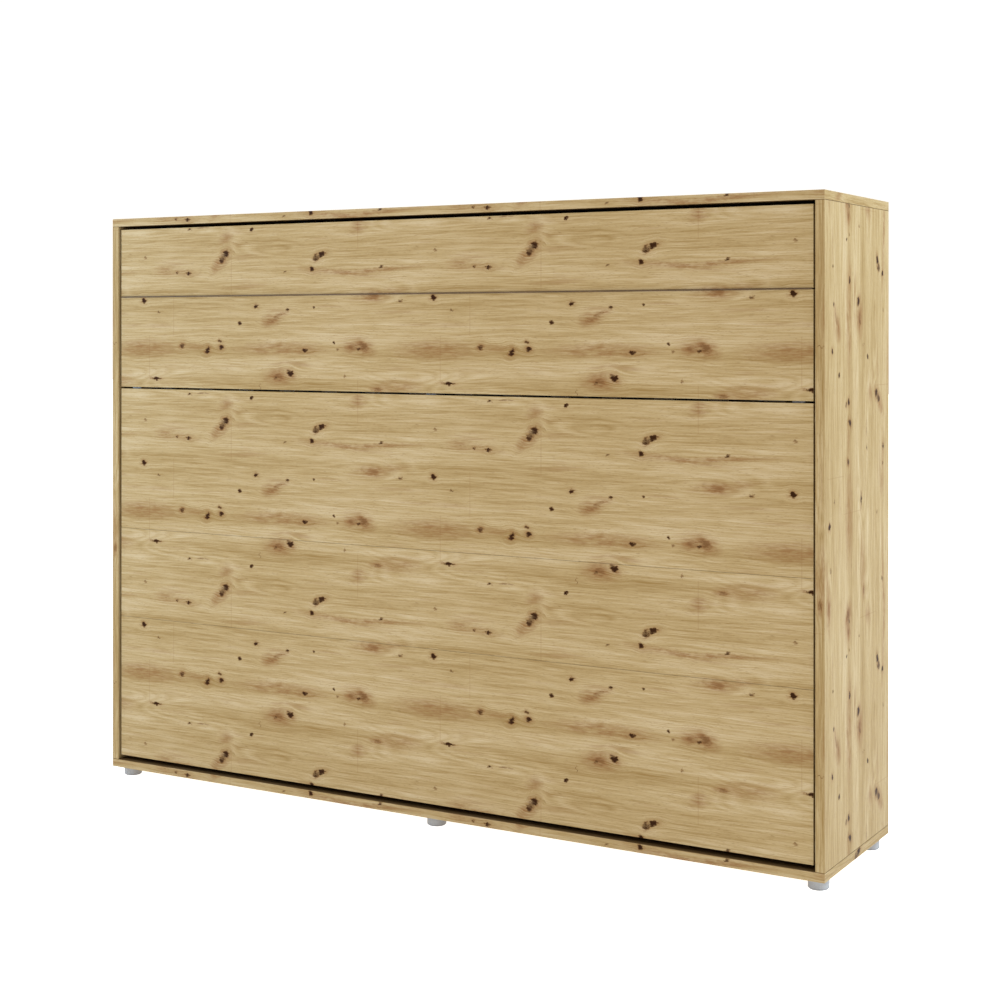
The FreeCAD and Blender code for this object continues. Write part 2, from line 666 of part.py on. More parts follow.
def mattress():
    """A plain block for the mattress, and the straps that hold it when the bed is folded."""
    width, thick, length = MATTRESS
    y_low = Y_TUBE_BACK + HOLDER_T + MATTRESS_PLAY
    y_high = y_low + thick
    z_mid = (FRAME_LOW + FRAME_HIGH) / 2
    block = box((-width / 2, width / 2), (y_low, y_high), (z_mid - length / 2, z_mid + length / 2))
    add("mattress", block.makeFillet(MATTRESS_EDGE_R, block.Edges))
    for name, side in SIDES:
        x = side * STRAP_X
        span = (x - STRAP_W / 2, x + STRAP_W / 2)
        z_low = FRAME_LOW - 3
        z_high = FRAME_HIGH + 4
        y_face = y_high + MATTRESS_PLAY
        outer = box(span, (Y_TUBE + 2.5, y_face + STRAP_T), (z_low, z_high))
        inner = box(span, (Y_TUBE, y_face), (z_low + STRAP_T, z_high - STRAP_T))
        outer = round_back(outer, STRAP_BEND_R + STRAP_T)
        add("mattress_straps", outer.cut(round_back(inner, STRAP_BEND_R)))
        buckle_x = (x - BUCKLE_W / 2, x + BUCKLE_W / 2)
        buckle_z = z_mid - BUCKLE_BELOW_MIDDLE
        buckle_y = (y_face + STRAP_T, y_face + BUCKLE_RISE)
        buckle = box(buckle_x, buckle_y, (buckle_z, buckle_z + BUCKLE_H))
        add("strap_buckles", buckle.makeFillet(3, buckle.Edges))
        retainer(side * RETAINER_X)


def retainer(x):
    """A bent round bar over the mattress's outer edge, on two welded feet."""
    bar_r = 5.0
    bend = 25.0
    half_w = 80.0
    foot_half_w = 16.0
    foot_t = 3.0
    z = FRAME_HIGH + 6.0
    y_start = Y_TUBE + 5
    y_end = -50.0
    slant = bend * math.cos(math.radians(45))
    left = x - half_w
    right = x + half_w
    path = Part.Wire([
        Part.LineSegment(Vector(left, y_start, z), Vector(left, y_end - bend, z)).toShape(),
        Part.Arc(
            Vector(left, y_end - bend, z),
            Vector(left + bend - slant, y_end - bend + slant, z),
            Vector(left + bend, y_end, z),
        ).toShape(),
        Part.LineSegment(Vector(left + bend, y_end, z), Vector(right - bend, y_end, z)).toShape(),
        Part.Arc(
            Vector(right - bend, y_end, z),
            Vector(right - bend + slant, y_end - bend + slant, z),
            Vector(right, y_end - bend, z),
        ).toShape(),
        Part.LineSegment(Vector(right, y_end - bend, z), Vector(right, y_start, z)).toShape(),
    ])
    section = Part.Wire(Part.makeCircle(bar_r, Vector(left, y_start, z), ALONG_Y))
    bar = path.makePipeShell([section], True, False)
    plate_y = (Y_TUBE + 3, Y_TUBE_BACK - 3)
    plate_z = (FRAME_HIGH, FRAME_HIGH + foot_t)
    plates = []
    for foot_x in (left, right):
        plates.append(box((foot_x - foot_half_w, foot_x + foot_half_w), plate_y, plate_z))
    add("mattress_retainers", bar.multiFuse(plates).removeSplitter())


# ---- Leg ----

def hinge_leaf(up, offset):
    """One leaf of the continuous hinge, lying in the joint. The knuckles alternate by offset."""
    count = int(HINGE_LENGTH / KNUCKLE_PITCH)
    start = -HINGE_LENGTH / 2
    end_gap = 0.25
    near = up * (LEG_JOINT / 2 - LEAF_T)
    far = up * LEG_JOINT / 2
    leaf = box((start, -start), (Y_HINGE, Y_TUBE - 1), (Z_HINGE + near, Z_HINGE + far))
    knuckles = []
    cutters = []
    for index in range(count):
        low = start + index * KNUCKLE_PITCH
        high = low + KNUCKLE_PITCH
        if index % 2 == offset:
            knuckles.append(rod(
                KNUCKLE_R,
                Vector(low + end_gap, Y_HINGE, Z_HINGE),
                Vector(high - end_gap, Y_HINGE, Z_HINGE),
            ))
        else:
            reach = KNUCKLE_R + 0.35
            cutters.append(box(
                (low - end_gap, high + end_gap),
                (Y_HINGE - reach, Y_HINGE + reach),
                (Z_HINGE - reach, Z_HINGE + reach),
            ))
    pin_start = Vector(start - 1, Y_HINGE, Z_HINGE)
    cutters.append(rod(HINGE_PIN_R + FIT, pin_start, Vector(1 - start, Y_HINGE, Z_HINGE)))
    return leaf.multiFuse(knuckles).cut(cutters).removeSplitter()


def leg_hinge():
    """The continuous hinge between the leg board and the top board, with its pin and screws."""
    add("hinge_leaf_bed", hinge_leaf(1, 0))
    add("hinge_leaf_leg", hinge_leaf(-1, 1))
    half = HINGE_LENGTH / 2
    add("hinge_pin", rod(HINGE_PIN_R, Vector(-half, Y_HINGE, Z_HINGE), Vector(half, Y_HINGE, Z_HINGE)))
    screws = 12
    pitch = 160.0
    first = -900.0
    shank_r = 1.25
    head_r = 2.5
    length = 15.0
    rows = (
        ("hinge_screws_bed", "hinge_leaf_bed", "front_board_top", 1, 0.0),
        ("leg_screws", "hinge_leaf_leg", "leg_board", -1, 40.0),
    )
    for group, leaf, target, up, shift in rows:
        for index in range(screws):
            x = first + index * pitch + shift
            seat = Vector(x, Y_FACE + FRONT_T / 2, Z_HINGE + up * LEG_JOINT / 2)
            into = Vector(0, 0, up)
            add(group, screw(seat, into, length, shank_r, head_r, LEAF_T))
            drill(Part.makeCylinder(shank_r, length, seat, into), target)
            drill(Part.makeCylinder(head_r, LEAF_T + 1, seat, into.negative()), leaf)


def leg():
    """The leg board, its glides, and the brackets that the stays are pinned to."""
    glide_r = 7.0
    fin_x = (1007.5, 1009.5)
    fin_half_h = 7.0
    base_t = 2.0
    base_x = 1025.0
    base_half_h = 28.0
    base_screw_x = 1017.0
    pin_end_x = 1001.0
    pin_head_r = 5.0
    pin_head_t = 1.5
    z_low = Z_HINGE - LEG_REACH
    add("leg_board", board((-X_FRONT, X_FRONT), (Y_FACE, Y_TUBE), (z_low, Z_HINGE - LEG_JOINT / 2)))
    for x in (-900.0, -450.0, 0.0, 450.0, 900.0):
        top = Vector(x, Y_FACE + FRONT_T / 2, z_low)
        add("leg_glides", Part.makeCylinder(glide_r, GLIDE_T, top, Vector(0, 0, -1)))
    y_pin, z_pin = stay_point(STAY_PIN_ANGLE)
    for name, side in SIDES:
        node = "leg_brackets"
        base_z = (z_pin - base_half_h, z_pin + base_half_h)
        base = box((side * fin_x[0], side * base_x), (Y_TUBE, Y_TUBE + base_t), base_z)
        fin_z = (z_pin - fin_half_h, z_pin + fin_half_h)
        fin = box((side * fin_x[0], side * fin_x[1]), (Y_TUBE, y_pin), fin_z)
        inner_face = Vector(side * fin_x[0], y_pin, z_pin)
        tip = rod(fin_half_h, inner_face, Vector(side * fin_x[1], y_pin, z_pin))
        pin_end = Vector(side * pin_end_x, y_pin, z_pin)
        pin = rod(STAY_PIN_R, inner_face, pin_end)
        head = rod(pin_head_r, pin_end, Vector(side * (pin_end_x + pin_head_t), y_pin, z_pin))
        add(node, base.multiFuse([fin, tip, pin, head]).removeSplitter())
        for dz in (-20.0, 20.0):
            head_at = Vector(side * base_screw_x, Y_TUBE + base_t, z_pin + dz)
            fasten("leg_screws", [node, "leg_board"], head_at, Vector(0, -1, 0), 14.0, 2.0, 4.0, 2.0)


def leg_stays():
    """Slotted bars pinned to the leg, which slide on the frame's posts and stop the leg at 90."""
    y_pin, z_pin = stay_point(STAY_PIN_ANGLE)
    y_post, z_post = stay_point(STAY_POST_ANGLE)
    swing = STAY_POST_ANGLE - STAY_PIN_ANGLE
    near = 2 * STAY_RADIUS * math.sin(math.radians(swing / 2))
    far = 2 * STAY_RADIUS * math.sin(math.radians((swing + 90) / 2))
    play = 0.3
    beyond = 6.0
    slot_r = STAY_POST_R + play
    half_t = STAY_T / 2
    end = far + beyond + STAY_W / 2
    flat = box((-half_t, half_t), (-STAY_W / 2, STAY_W / 2), (0, end))
    root = rod(STAY_W / 2, Vector(-half_t, 0, 0), Vector(half_t, 0, 0))
    tip = rod(STAY_W / 2, Vector(-half_t, 0, end), Vector(half_t, 0, end))
    slot = box((-STAY_T, STAY_T), (-slot_r, slot_r), (near - play, far + play))
    slot_low = rod(slot_r, Vector(-STAY_T, 0, near - play), Vector(STAY_T, 0, near - play))
    slot_high = rod(slot_r, Vector(-STAY_T, 0, far + play), Vector(STAY_T, 0, far + play))
    eye = rod(STAY_PIN_R + FIT, Vector(-STAY_T, 0, 0), Vector(STAY_T, 0, 0))
    bar = flat.multiFuse([root, tip]).cut([slot, slot_low, slot_high, eye]).removeSplitter()
    for name, side in SIDES:
        pin = Vector(side * STAY_X, y_pin, z_pin)
        towards_post = Vector(0, y_post - y_pin, z_post - z_pin)
        add("leg_stay_" + name, lay_along(bar.copy(), pin, towards_post))


def write_parts():
    """Drill each node's solids and write one STEP file per node."""
    for node, shapes in solids.items():
        cutters = bores.get(node, [])
        finished = []
        for shape in shapes:
            finished.append(shape.cut(cutters) if cutters else shape)
        Part.makeCompound(finished).exportStep("parts/" + node + ".step")


os.makedirs("parts", exist_ok=True)
carcass_panels()
back()
cam_joints()
feet()
wall_brackets()
pivots()
struts()
closing_stops()
frame_tubes()
frame_rails()
front_boards()
slats()
mattress()
leg_hinge()
leg()
leg_stays()
write_parts()
print(len(solids), "nodes; bed pivot", Y_PIVOT, Z_PIVOT, "; leg hinge", Y_HINGE, Z_HINGE)
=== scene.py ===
import math

import bmesh
import bpy
import numpy as np
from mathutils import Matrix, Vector


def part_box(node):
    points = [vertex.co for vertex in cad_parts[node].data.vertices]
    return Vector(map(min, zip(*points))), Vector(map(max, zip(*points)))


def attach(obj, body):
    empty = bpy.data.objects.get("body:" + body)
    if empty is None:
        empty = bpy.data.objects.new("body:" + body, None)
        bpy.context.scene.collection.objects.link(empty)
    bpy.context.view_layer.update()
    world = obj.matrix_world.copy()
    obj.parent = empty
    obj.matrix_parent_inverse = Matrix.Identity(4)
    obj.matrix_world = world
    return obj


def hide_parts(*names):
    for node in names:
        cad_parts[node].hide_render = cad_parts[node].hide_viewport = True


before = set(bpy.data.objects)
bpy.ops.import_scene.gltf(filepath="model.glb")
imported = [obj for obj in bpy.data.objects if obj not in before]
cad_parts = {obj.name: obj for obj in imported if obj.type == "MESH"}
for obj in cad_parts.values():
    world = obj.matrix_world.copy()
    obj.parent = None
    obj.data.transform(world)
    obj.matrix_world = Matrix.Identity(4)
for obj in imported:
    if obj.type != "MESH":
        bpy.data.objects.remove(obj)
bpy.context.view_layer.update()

MM = 0.001
TURN = 2 * math.pi
X_AXIS = Vector((1, 0, 0))
Y_AXIS = Vector((0, 1, 0))

# ---------------------------------------------------------------- camera and light

CAMERA_PLACE = (2.4099, -3.9900, 1.2629)
CAMERA_TURN = 30.249  # degrees to the left of straight at the front
LENS = 63.42
SHIFT_UP = -0.1696
WORLD_COLOUR = (1.0, 0.965, 0.93, 1)
WORLD_STRENGTH = 1.08


def make_camera():
    data = bpy.data.cameras.new("camera")
    data.lens = LENS
    data.sensor_width = 36
    data.shift_y = SHIFT_UP
    camera = bpy.data.objects.new("camera", data)
    camera.location = CAMERA_PLACE
    camera.rotation_euler = (math.radians(90), 0, math.radians(CAMERA_TURN))
    bpy.context.scene.collection.objects.link(camera)
    bpy.context.scene.camera = camera


def area_light(name, place, target, size, watts, colour=(1, 1, 1)):
    data = bpy.data.lights.new(name, "AREA")
    data.color = colour
    data.shape = "RECTANGLE"
    data.size, data.size_y = size
    data.energy = watts
    light = bpy.data.objects.new(name, data)
    light.location = place
    aim = Vector(target) - Vector(place)
    light.rotation_euler = aim.to_track_quat("-Z", "Y").to_euler()
    light.visible_camera = False
    bpy.context.scene.collection.objects.link(light)


def make_light():
    world = bpy.data.worlds.new("studio")
    world.use_nodes = True
    background = world.node_tree.nodes["Background"]
    background.inputs["Color"].default_value = WORLD_COLOUR
    background.inputs["Strength"].default_value = WORLD_STRENGTH
    bpy.context.scene.world = world
    area_light("key", place=(-2.3, -3.0, 3.6), target=(-0.3, 0, 0.9), size=(1.3, 1.0), watts=50)
    area_light("fill_left", place=(-2.5, -1.9, 1.8), target=(-1.0, 0, 1.0), size=(1.5, 1.5), watts=54,
               colour=(0.34, 0.64, 1.0))
    area_light("fill_right", place=(3.9, 0.4, 4.3), target=(1.0, 0.1, 1.3), size=(1.6, 1.6), watts=300,
               colour=(0.60, 0.80, 1.0))
    bpy.context.scene.view_settings.view_transform = "Standard"


# ---------------------------------------------------------------- shader helpers


def put(tree, kind, inputs=None, out=0, **settings):
    """Adds a node, links or sets its inputs, and returns one of its outputs."""
    node = tree.nodes.new(kind)
    for key, value in settings.items():
        setattr(node, key, value)
    for key, value in (inputs or {}).items():
        if isinstance(value, bpy.types.NodeSocket):
            tree.links.new(value, node.inputs[key])
        else:
            node.inputs[key].default_value = value
    return node.outputs[out]


def math_node(tree, operation, *values):
    return put(tree, "ShaderNodeMath", dict(enumerate(values)), operation=operation)


def add_centred(tree, base, pattern, weight):
    """Adds to a base what a pattern has above or below its middle, 0.5."""
    return math_node(tree, "MULTIPLY_ADD", math_node(tree, "SUBTRACT", pattern, 0.5), weight, base)


def waves(tree, value, pitch):
    return math_node(tree, "SINE", math_node(tree, "MULTIPLY", value, TURN / pitch))


def vector_node(tree, operation, *values, out="Vector"):
    return put(tree, "ShaderNodeVectorMath", dict(enumerate(values)), out, operation=operation)


def combine(tree, x, y, z=0.0):
    return put(tree, "ShaderNodeCombineXYZ", {"X": x, "Y": y, "Z": z})


def separate(tree, vector):
    node = tree.nodes.new("ShaderNodeSeparateXYZ")
    tree.links.new(vector, node.inputs[0])
    return node.outputs["X"], node.outputs["Y"], node.outputs["Z"]


def smooth_range(tree, value, low, high, to_low=0.0, to_high=1.0):
    sockets = {"Value": value, "From Min": low, "From Max": high, "To Min": to_low, "To Max": to_high}
    return put(tree, "ShaderNodeMapRange", sockets, interpolation_type="SMOOTHSTEP")


def mix(tree, factor, a, b):
    node = tree.nodes.new("ShaderNodeMix")
    node.data_type = "RGBA"
    for key, value in ((0, factor), (6, a), (7, b)):
        if isinstance(value, bpy.types.NodeSocket):
            tree.links.new(value, node.inputs[key])
        elif key == 0:
            node.inputs[key].default_value = value
        else:
            node.inputs[key].default_value = (*value, 1)
    return node.outputs[2]


def mix_vector(tree, factor, a, b):
    node = tree.nodes.new("ShaderNodeMix")
    node.data_type = "VECTOR"
    for key, value in ((0, factor), (4, a), (5, b)):
        tree.links.new(value, node.inputs[key])
    return node.outputs[1]


def ramp(tree, value, *stops):
    node = tree.nodes.new("ShaderNodeValToRGB")
    tree.links.new(value, node.inputs[0])
    elements = node.color_ramp.elements
    while len(elements) < len(stops):
        elements.new(0.5)
    for element, (position, colour) in zip(elements, stops):
        element.position = position
        element.color = (*colour, 1)
    return node.outputs[0]


def noise(tree, vector, scale, detail=2.0, rough=0.5):
    sockets = {"Vector": vector, "Scale": scale, "Detail": detail, "Roughness": rough}
    return put(tree, "ShaderNodeTexNoise", sockets, "Fac")


def bump(tree, height, distance, strength=1.0):
    return put(tree, "ShaderNodeBump", {"Height": height, "Distance": distance, "Strength": strength})


def object_place(tree):
    return put(tree, "ShaderNodeTexCoord", out="Object")


def new_material(name, roughness=0.5, metallic=0.0, **sockets):
    material = bpy.data.materials.new(name)
    material.use_nodes = True
    shader = material.node_tree.nodes["Principled BSDF"]
    shader.inputs["Roughness"].default_value = roughness
    shader.inputs["Metallic"].default_value = metallic
    for key, value in sockets.items():
        shader.inputs[key.replace("_", " ")].default_value = value
    return material, material.node_tree, shader


# ---------------------------------------------------------------- oak decor

TILE_ALONG = 0.961  # the printed decor repeats at these lengths
TILE_ACROSS = 0.454
PLANKS = 4
PRINT_START = 1.033  # from the middle to where the repeat starts at the left

# Knots and stains of one repeat of the print, in mm:
# along, across, half length, half width, tilt in degrees, darkness, reddish halo.
# Most of their places, and of the specks' places, were read off the photographed print and converted
# to millimetres. The other places, and all sizes, tilts and strengths, were set one by one.
KNOTS = (
    (383, 109, 10, 9, 30, 1.0, 0.7),
    (373, 98, 19, 7, 52, 0.72, 0.8),
    (360, 84, 18, 7, 35, 0.25, 0.9),
    (702, 100, 14, 6, 20, 1.0, 0.5),
    (690, 94, 9, 6, 35, 0.85, 0.5),
    (672, 63, 7, 7, 0, 1.0, 0.7),
    (252, 57, 7, 5, 0, 1.0, 0.6),
    (222, 62, 36, 5, -6, 0.1, 0.6),
    (177, 67, 20, 8, 0, 0.1, 0.7),
    (762, 53, 70, 4, -5, 0.22, 0.8),
    (872, 57, 80, 3, 3, 0.26, 0.8),
    (90, 438, 7, 7, 0, 1.0, 0.7),
    (486, 419, 7, 6, 0, 0.9, 0.5),
    (535, 380, 16, 9, 10, 0.35, 1.0),
    (558, 391, 22, 5, 25, 0.45, 0.8),
    (229, 312, 9, 8, 0, 0.7, 0.9),
    (268, 310, 34, 5, 0, 0.1, 0.6),
    (314, 302, 8, 10, 0, 1.0, 0.7),
    (362, 326, 5, 4, 0, 0.7, 0.6),
    (362, 309, 9, 7, 0, 1.0, 0.9),
    (649, 302, 9, 5, 0, 0.85, 0.7),
    (805, 310, 20, 9, 0, 0.4, 1.0),
    (832, 312, 20, 11, -20, 0.45, 1.0),
    (601, 241, 12, 8, -35, 1.0, 0.9),
    (562, 231, 24, 12, 0, 0.40, 1.0),
    (135, 221, 17, 3, 0, 1.0, 0.5),
    (880, 203, 14, 5, 0, 0.45, 0.8),
    (938, 208, 40, 10, 4, 0.08, 0.7),
    (383, 151, 12, 10, 30, 0.2, 0.8),
    (822, 172, 14, 9, 30, 0.25, 0.8),
    (866, 443, 24, 9, 0, 0.35, 1.0),
    (890, 449, 44, 5, 8, 0.15, 0.7),
    (572, 306, 70, 9, 0, 0.10, 0.9),
    (100, 305, 60, 12, 0, 0.08, 0.9),
)
# Small specks: along, across, half length, half width, darkness
SPECKS = (
    (471, 172, 6, 5, 1.0),
    (256, 180, 7, 4, 0.8),
    (300, 182, 26, 2, 0.5),
    (97, 104, 5, 4, 0.6),
    (143, 406, 6, 3, 0.8),
    (592, 410, 6, 5, 0.9),
    (678, 416, 5, 4, 0.8),
    (431, 374, 7, 5, 0.85),
    (742, 324, 6, 4, 0.85),
    (755, 306, 5, 4, 0.6),
    (822, 306, 5, 5, 0.7),
    (552, 228, 6, 4, 0.6),
    (133, 221, 8, 5, 1.0),
    (950, 431, 7, 4, 0.7),
    (778, 236, 3, 7, 0.5),
    (211, 60, 4, 4, 0.7),
    (583, 57, 7, 3, 0.7),
    (892, 66, 6, 4, 0.8),
    (499, 203, 2, 10, 0.6),
)

OAK_LIGHT = (0.341, 0.260, 0.148)
OAK_MIDDLE = (0.267, 0.188, 0.086)
OAK_DARK = (0.176, 0.105, 0.034)
OAK_RED = (0.152, 0.068, 0.022)
OAK_KNOT = (0.020, 0.006, 0.0008)
PORE_BROWN = (0.130, 0.068, 0.020)
# the next colour is painted shade for the seams where the panels meet
SEAM_SHADE_BROWN = (0.060, 0.028, 0.008)

# How much each part of the grain adds to the tone of the wood, which runs from 0, dark, to 1, light
BANDS_WEIGHT = 0.98
STREAKS_WEIGHT = 0.44
FIBRES_WEIGHT = 1.10
ARCS_WEIGHT = 0.20
PLANKS_WEIGHT = 0.10

ARCS = 26.0  # contour lines of the arcs' pattern
GRAIN_WANDER = 0.024
RAGGED = (0.022, 0.014, 0)  # how far the outlines of the marks stray, along and across
KNOT_BEND = 0.6  # how strongly a knot of full darkness bends the grain
LEAST_DARK = 0.3  # fainter marks bend the grain as one of this darkness
CLOUD_STRENGTH = 0.45
PORE_STRENGTH = 0.5
SEAM_EDGES = (0.8 * MM, 0.55 * MM)  # where the painted shade of the seam starts and where it is full
SEAM_STRENGTH = 0.85
FACING = 0.72  # a face looks along an axis when its normal has this much of it


def torus(tree, along, across):
    """The repeat wrapped on a torus in four dimensions, so that noise on it meets at the repeat's edges."""
    a = math_node(tree, "MULTIPLY", along, TURN / TILE_ALONG)
    b = math_node(tree, "MULTIPLY", across, TURN / TILE_ACROSS)
    cosine_b = math_node(tree, "COSINE", b)
    place = combine(tree, math_node(tree, "COSINE", a), math_node(tree, "SINE", a), cosine_b)
    return place, math_node(tree, "SINE", b)


def torus_noise(tree, wrapped, length, width, detail=2.0, rough=0.5, out="Fac"):
    """Repeating noise with features of about that length along the grain and width across it."""
    place, fourth = wrapped
    around = TILE_ALONG / length / TURN
    through = TILE_ACROSS / width / TURN
    sockets = {
        "Vector": vector_node(tree, "MULTIPLY", place, (around, around, through)),
        "W": math_node(tree, "MULTIPLY", fourth, through),
        "Scale": 1.0,
        "Detail": detail,
        "Roughness": rough,
    }
    return put(tree, "ShaderNodeTexNoise", sockets, out, noise_dimensions="4D")


def mark_group(name, numbers):
    """An empty group for one mark of the print, with those number inputs besides its place and shape."""
    group = bpy.data.node_groups.new(name, "ShaderNodeTree")
    for socket in ("Place", "Centre", "Size", "Turn"):
        group.interface.new_socket(socket, in_out="INPUT", socket_type="NodeSocketVector")
    for socket in numbers:
        group.interface.new_socket(socket, in_out="INPUT", socket_type="NodeSocketFloat")
    start = group.nodes.new("NodeGroupInput").outputs
    offset = vector_node(group, "SUBTRACT", start["Place"], start["Centre"])
    half = (TILE_ALONG / 2, TILE_ACROSS / 2, 1)
    offset = vector_node(group, "WRAP", offset, half, tuple(-value for value in half))
    sockets = {"Vector": offset, "Rotation": start["Turn"], "Scale": start["Size"]}
    shaped = put(group, "ShaderNodeMapping", sockets, vector_type="TEXTURE")
    return group, start, offset, vector_node(group, "LENGTH", shaped, out="Value")


def make_knot_group():
    """A knot darkens and reddens its place, and bends the grain round itself.
    The knots work one after another, each on the place that the one before has bent."""
    group, start, offset, distance = mark_group("decor_knot", ("Darkness", "Redness", "Bend", "Core", "Halo"))
    group.interface.new_socket("Place", in_out="OUTPUT", socket_type="NodeSocketVector")
    for name in ("Core", "Halo"):
        group.interface.new_socket(name, in_out="OUTPUT", socket_type="NodeSocketFloat")
    end = group.nodes.new("NodeGroupOutput").inputs
    core = smooth_range(group, distance, 1.5, 0.45, 0.0, start["Darkness"])
    halo = smooth_range(group, distance, 3.0, 0.4, 0.0, start["Redness"])
    group.links.new(math_node(group, "MAXIMUM", core, start["Core"]), end["Core"])
    group.links.new(math_node(group, "MAXIMUM", halo, start["Halo"]), end["Halo"])
    bend = smooth_range(group, distance, 4.5, 0.0, 0.0, start["Bend"])
    group.links.new(vector_node(group, "MULTIPLY_ADD", offset, bend, start["Place"]), end["Place"])
    return group


def make_speck_group():
    """A speck only darkens its place."""
    group, start, _, distance = mark_group("decor_speck", ("Darkness", "Core"))
    group.interface.new_socket("Core", in_out="OUTPUT", socket_type="NodeSocketFloat")
    end = group.nodes.new("NodeGroupOutput").inputs
    core = smooth_range(group, distance, 1.5, 0.45, 0.0, start["Darkness"])
    group.links.new(math_node(group, "MAXIMUM", core, start["Core"]), end["Core"])
    return group


def mark_node(tree, group, place, centre, half_size, **inputs):
    """One mark of the print. Its centre and half size are along and across the grain, in mm."""
    node = tree.nodes.new("ShaderNodeGroup")
    node.node_tree = group
    node.inputs["Centre"].default_value = (*(value * MM for value in centre), 0)
    node.inputs["Size"].default_value = (*(value * MM for value in half_size), 1)
    for socket, value in inputs.items():
        node.inputs[socket].default_value = value
    tree.links.new(place, node.inputs["Place"])
    return node


def add_marks(tree, knot_group, speck_group, place):
    """Puts all knots and specks on the print.
    Returns how dark and how reddish they are at a place, and the place as the knots bend it."""
    core, halo, bent = None, None, place
    for u, v, length, width, tilt, dark, red in KNOTS:
        bend = -KNOT_BEND * max(dark, LEAST_DARK)
        turn = (0, 0, math.radians(tilt))
        node = mark_node(tree, knot_group, bent, (u, v), (length, width), Turn=turn, Darkness=dark,
                         Redness=red, Bend=bend)
        if core:
            tree.links.new(core, node.inputs["Core"])
            tree.links.new(halo, node.inputs["Halo"])
        bent, core, halo = (node.outputs[name] for name in ("Place", "Core", "Halo"))
    for u, v, length, width, dark in SPECKS:
        node = mark_node(tree, speck_group, place, (u, v), (length, width), Darkness=dark)
        tree.links.new(core, node.inputs["Core"])
        core = node.outputs["Core"]
    return core, halo, bent


def grain_tone(tree, wrapped, grain):
    """The tone of the wood, from wide bands down to fibres, with arcs of the figure here and there."""
    bands = torus_noise(tree, grain, length=0.55, width=0.040, rough=0.55)
    streaks = torus_noise(tree, grain, length=0.26, width=0.009, rough=0.6)
    fibres = torus_noise(tree, grain, length=0.085, width=0.0021, rough=0.6)
    figure = torus_noise(tree, grain, length=0.34, width=0.060, detail=0.0)
    arcs = math_node(tree, "PINGPONG", math_node(tree, "MULTIPLY", figure, ARCS), 1.0)
    where = torus_noise(tree, wrapped, length=0.22, width=0.05, detail=0.0)
    where = smooth_range(tree, where, 0.50, 0.68)
    arcs = math_node(tree, "MULTIPLY", math_node(tree, "SUBTRACT", arcs, 0.5), where)
    tone = add_centred(tree, 0.5, bands, BANDS_WEIGHT)
    tone = add_centred(tree, tone, streaks, STREAKS_WEIGHT)
    tone = add_centred(tree, tone, fibres, FIBRES_WEIGHT)
    return math_node(tree, "MULTIPLY_ADD", arcs, ARCS_WEIGHT, tone)


def broken_up(tree, value, pattern, weight, least):
    """A value times least where a pattern is 0, and times least and weight where it is 1."""
    return math_node(tree, "MULTIPLY", value, math_node(tree, "MULTIPLY_ADD", pattern, weight, least))


def thin_lines(tree, value, outer, inner, strength):
    """A thin line at each whole number of a value."""
    off = math_node(tree, "PINGPONG", math_node(tree, "ADD", value, 0.5), 0.5)
    return smooth_range(tree, math_node(tree, "SUBTRACT", 0.5, off), outer, inner, 0.0, strength)


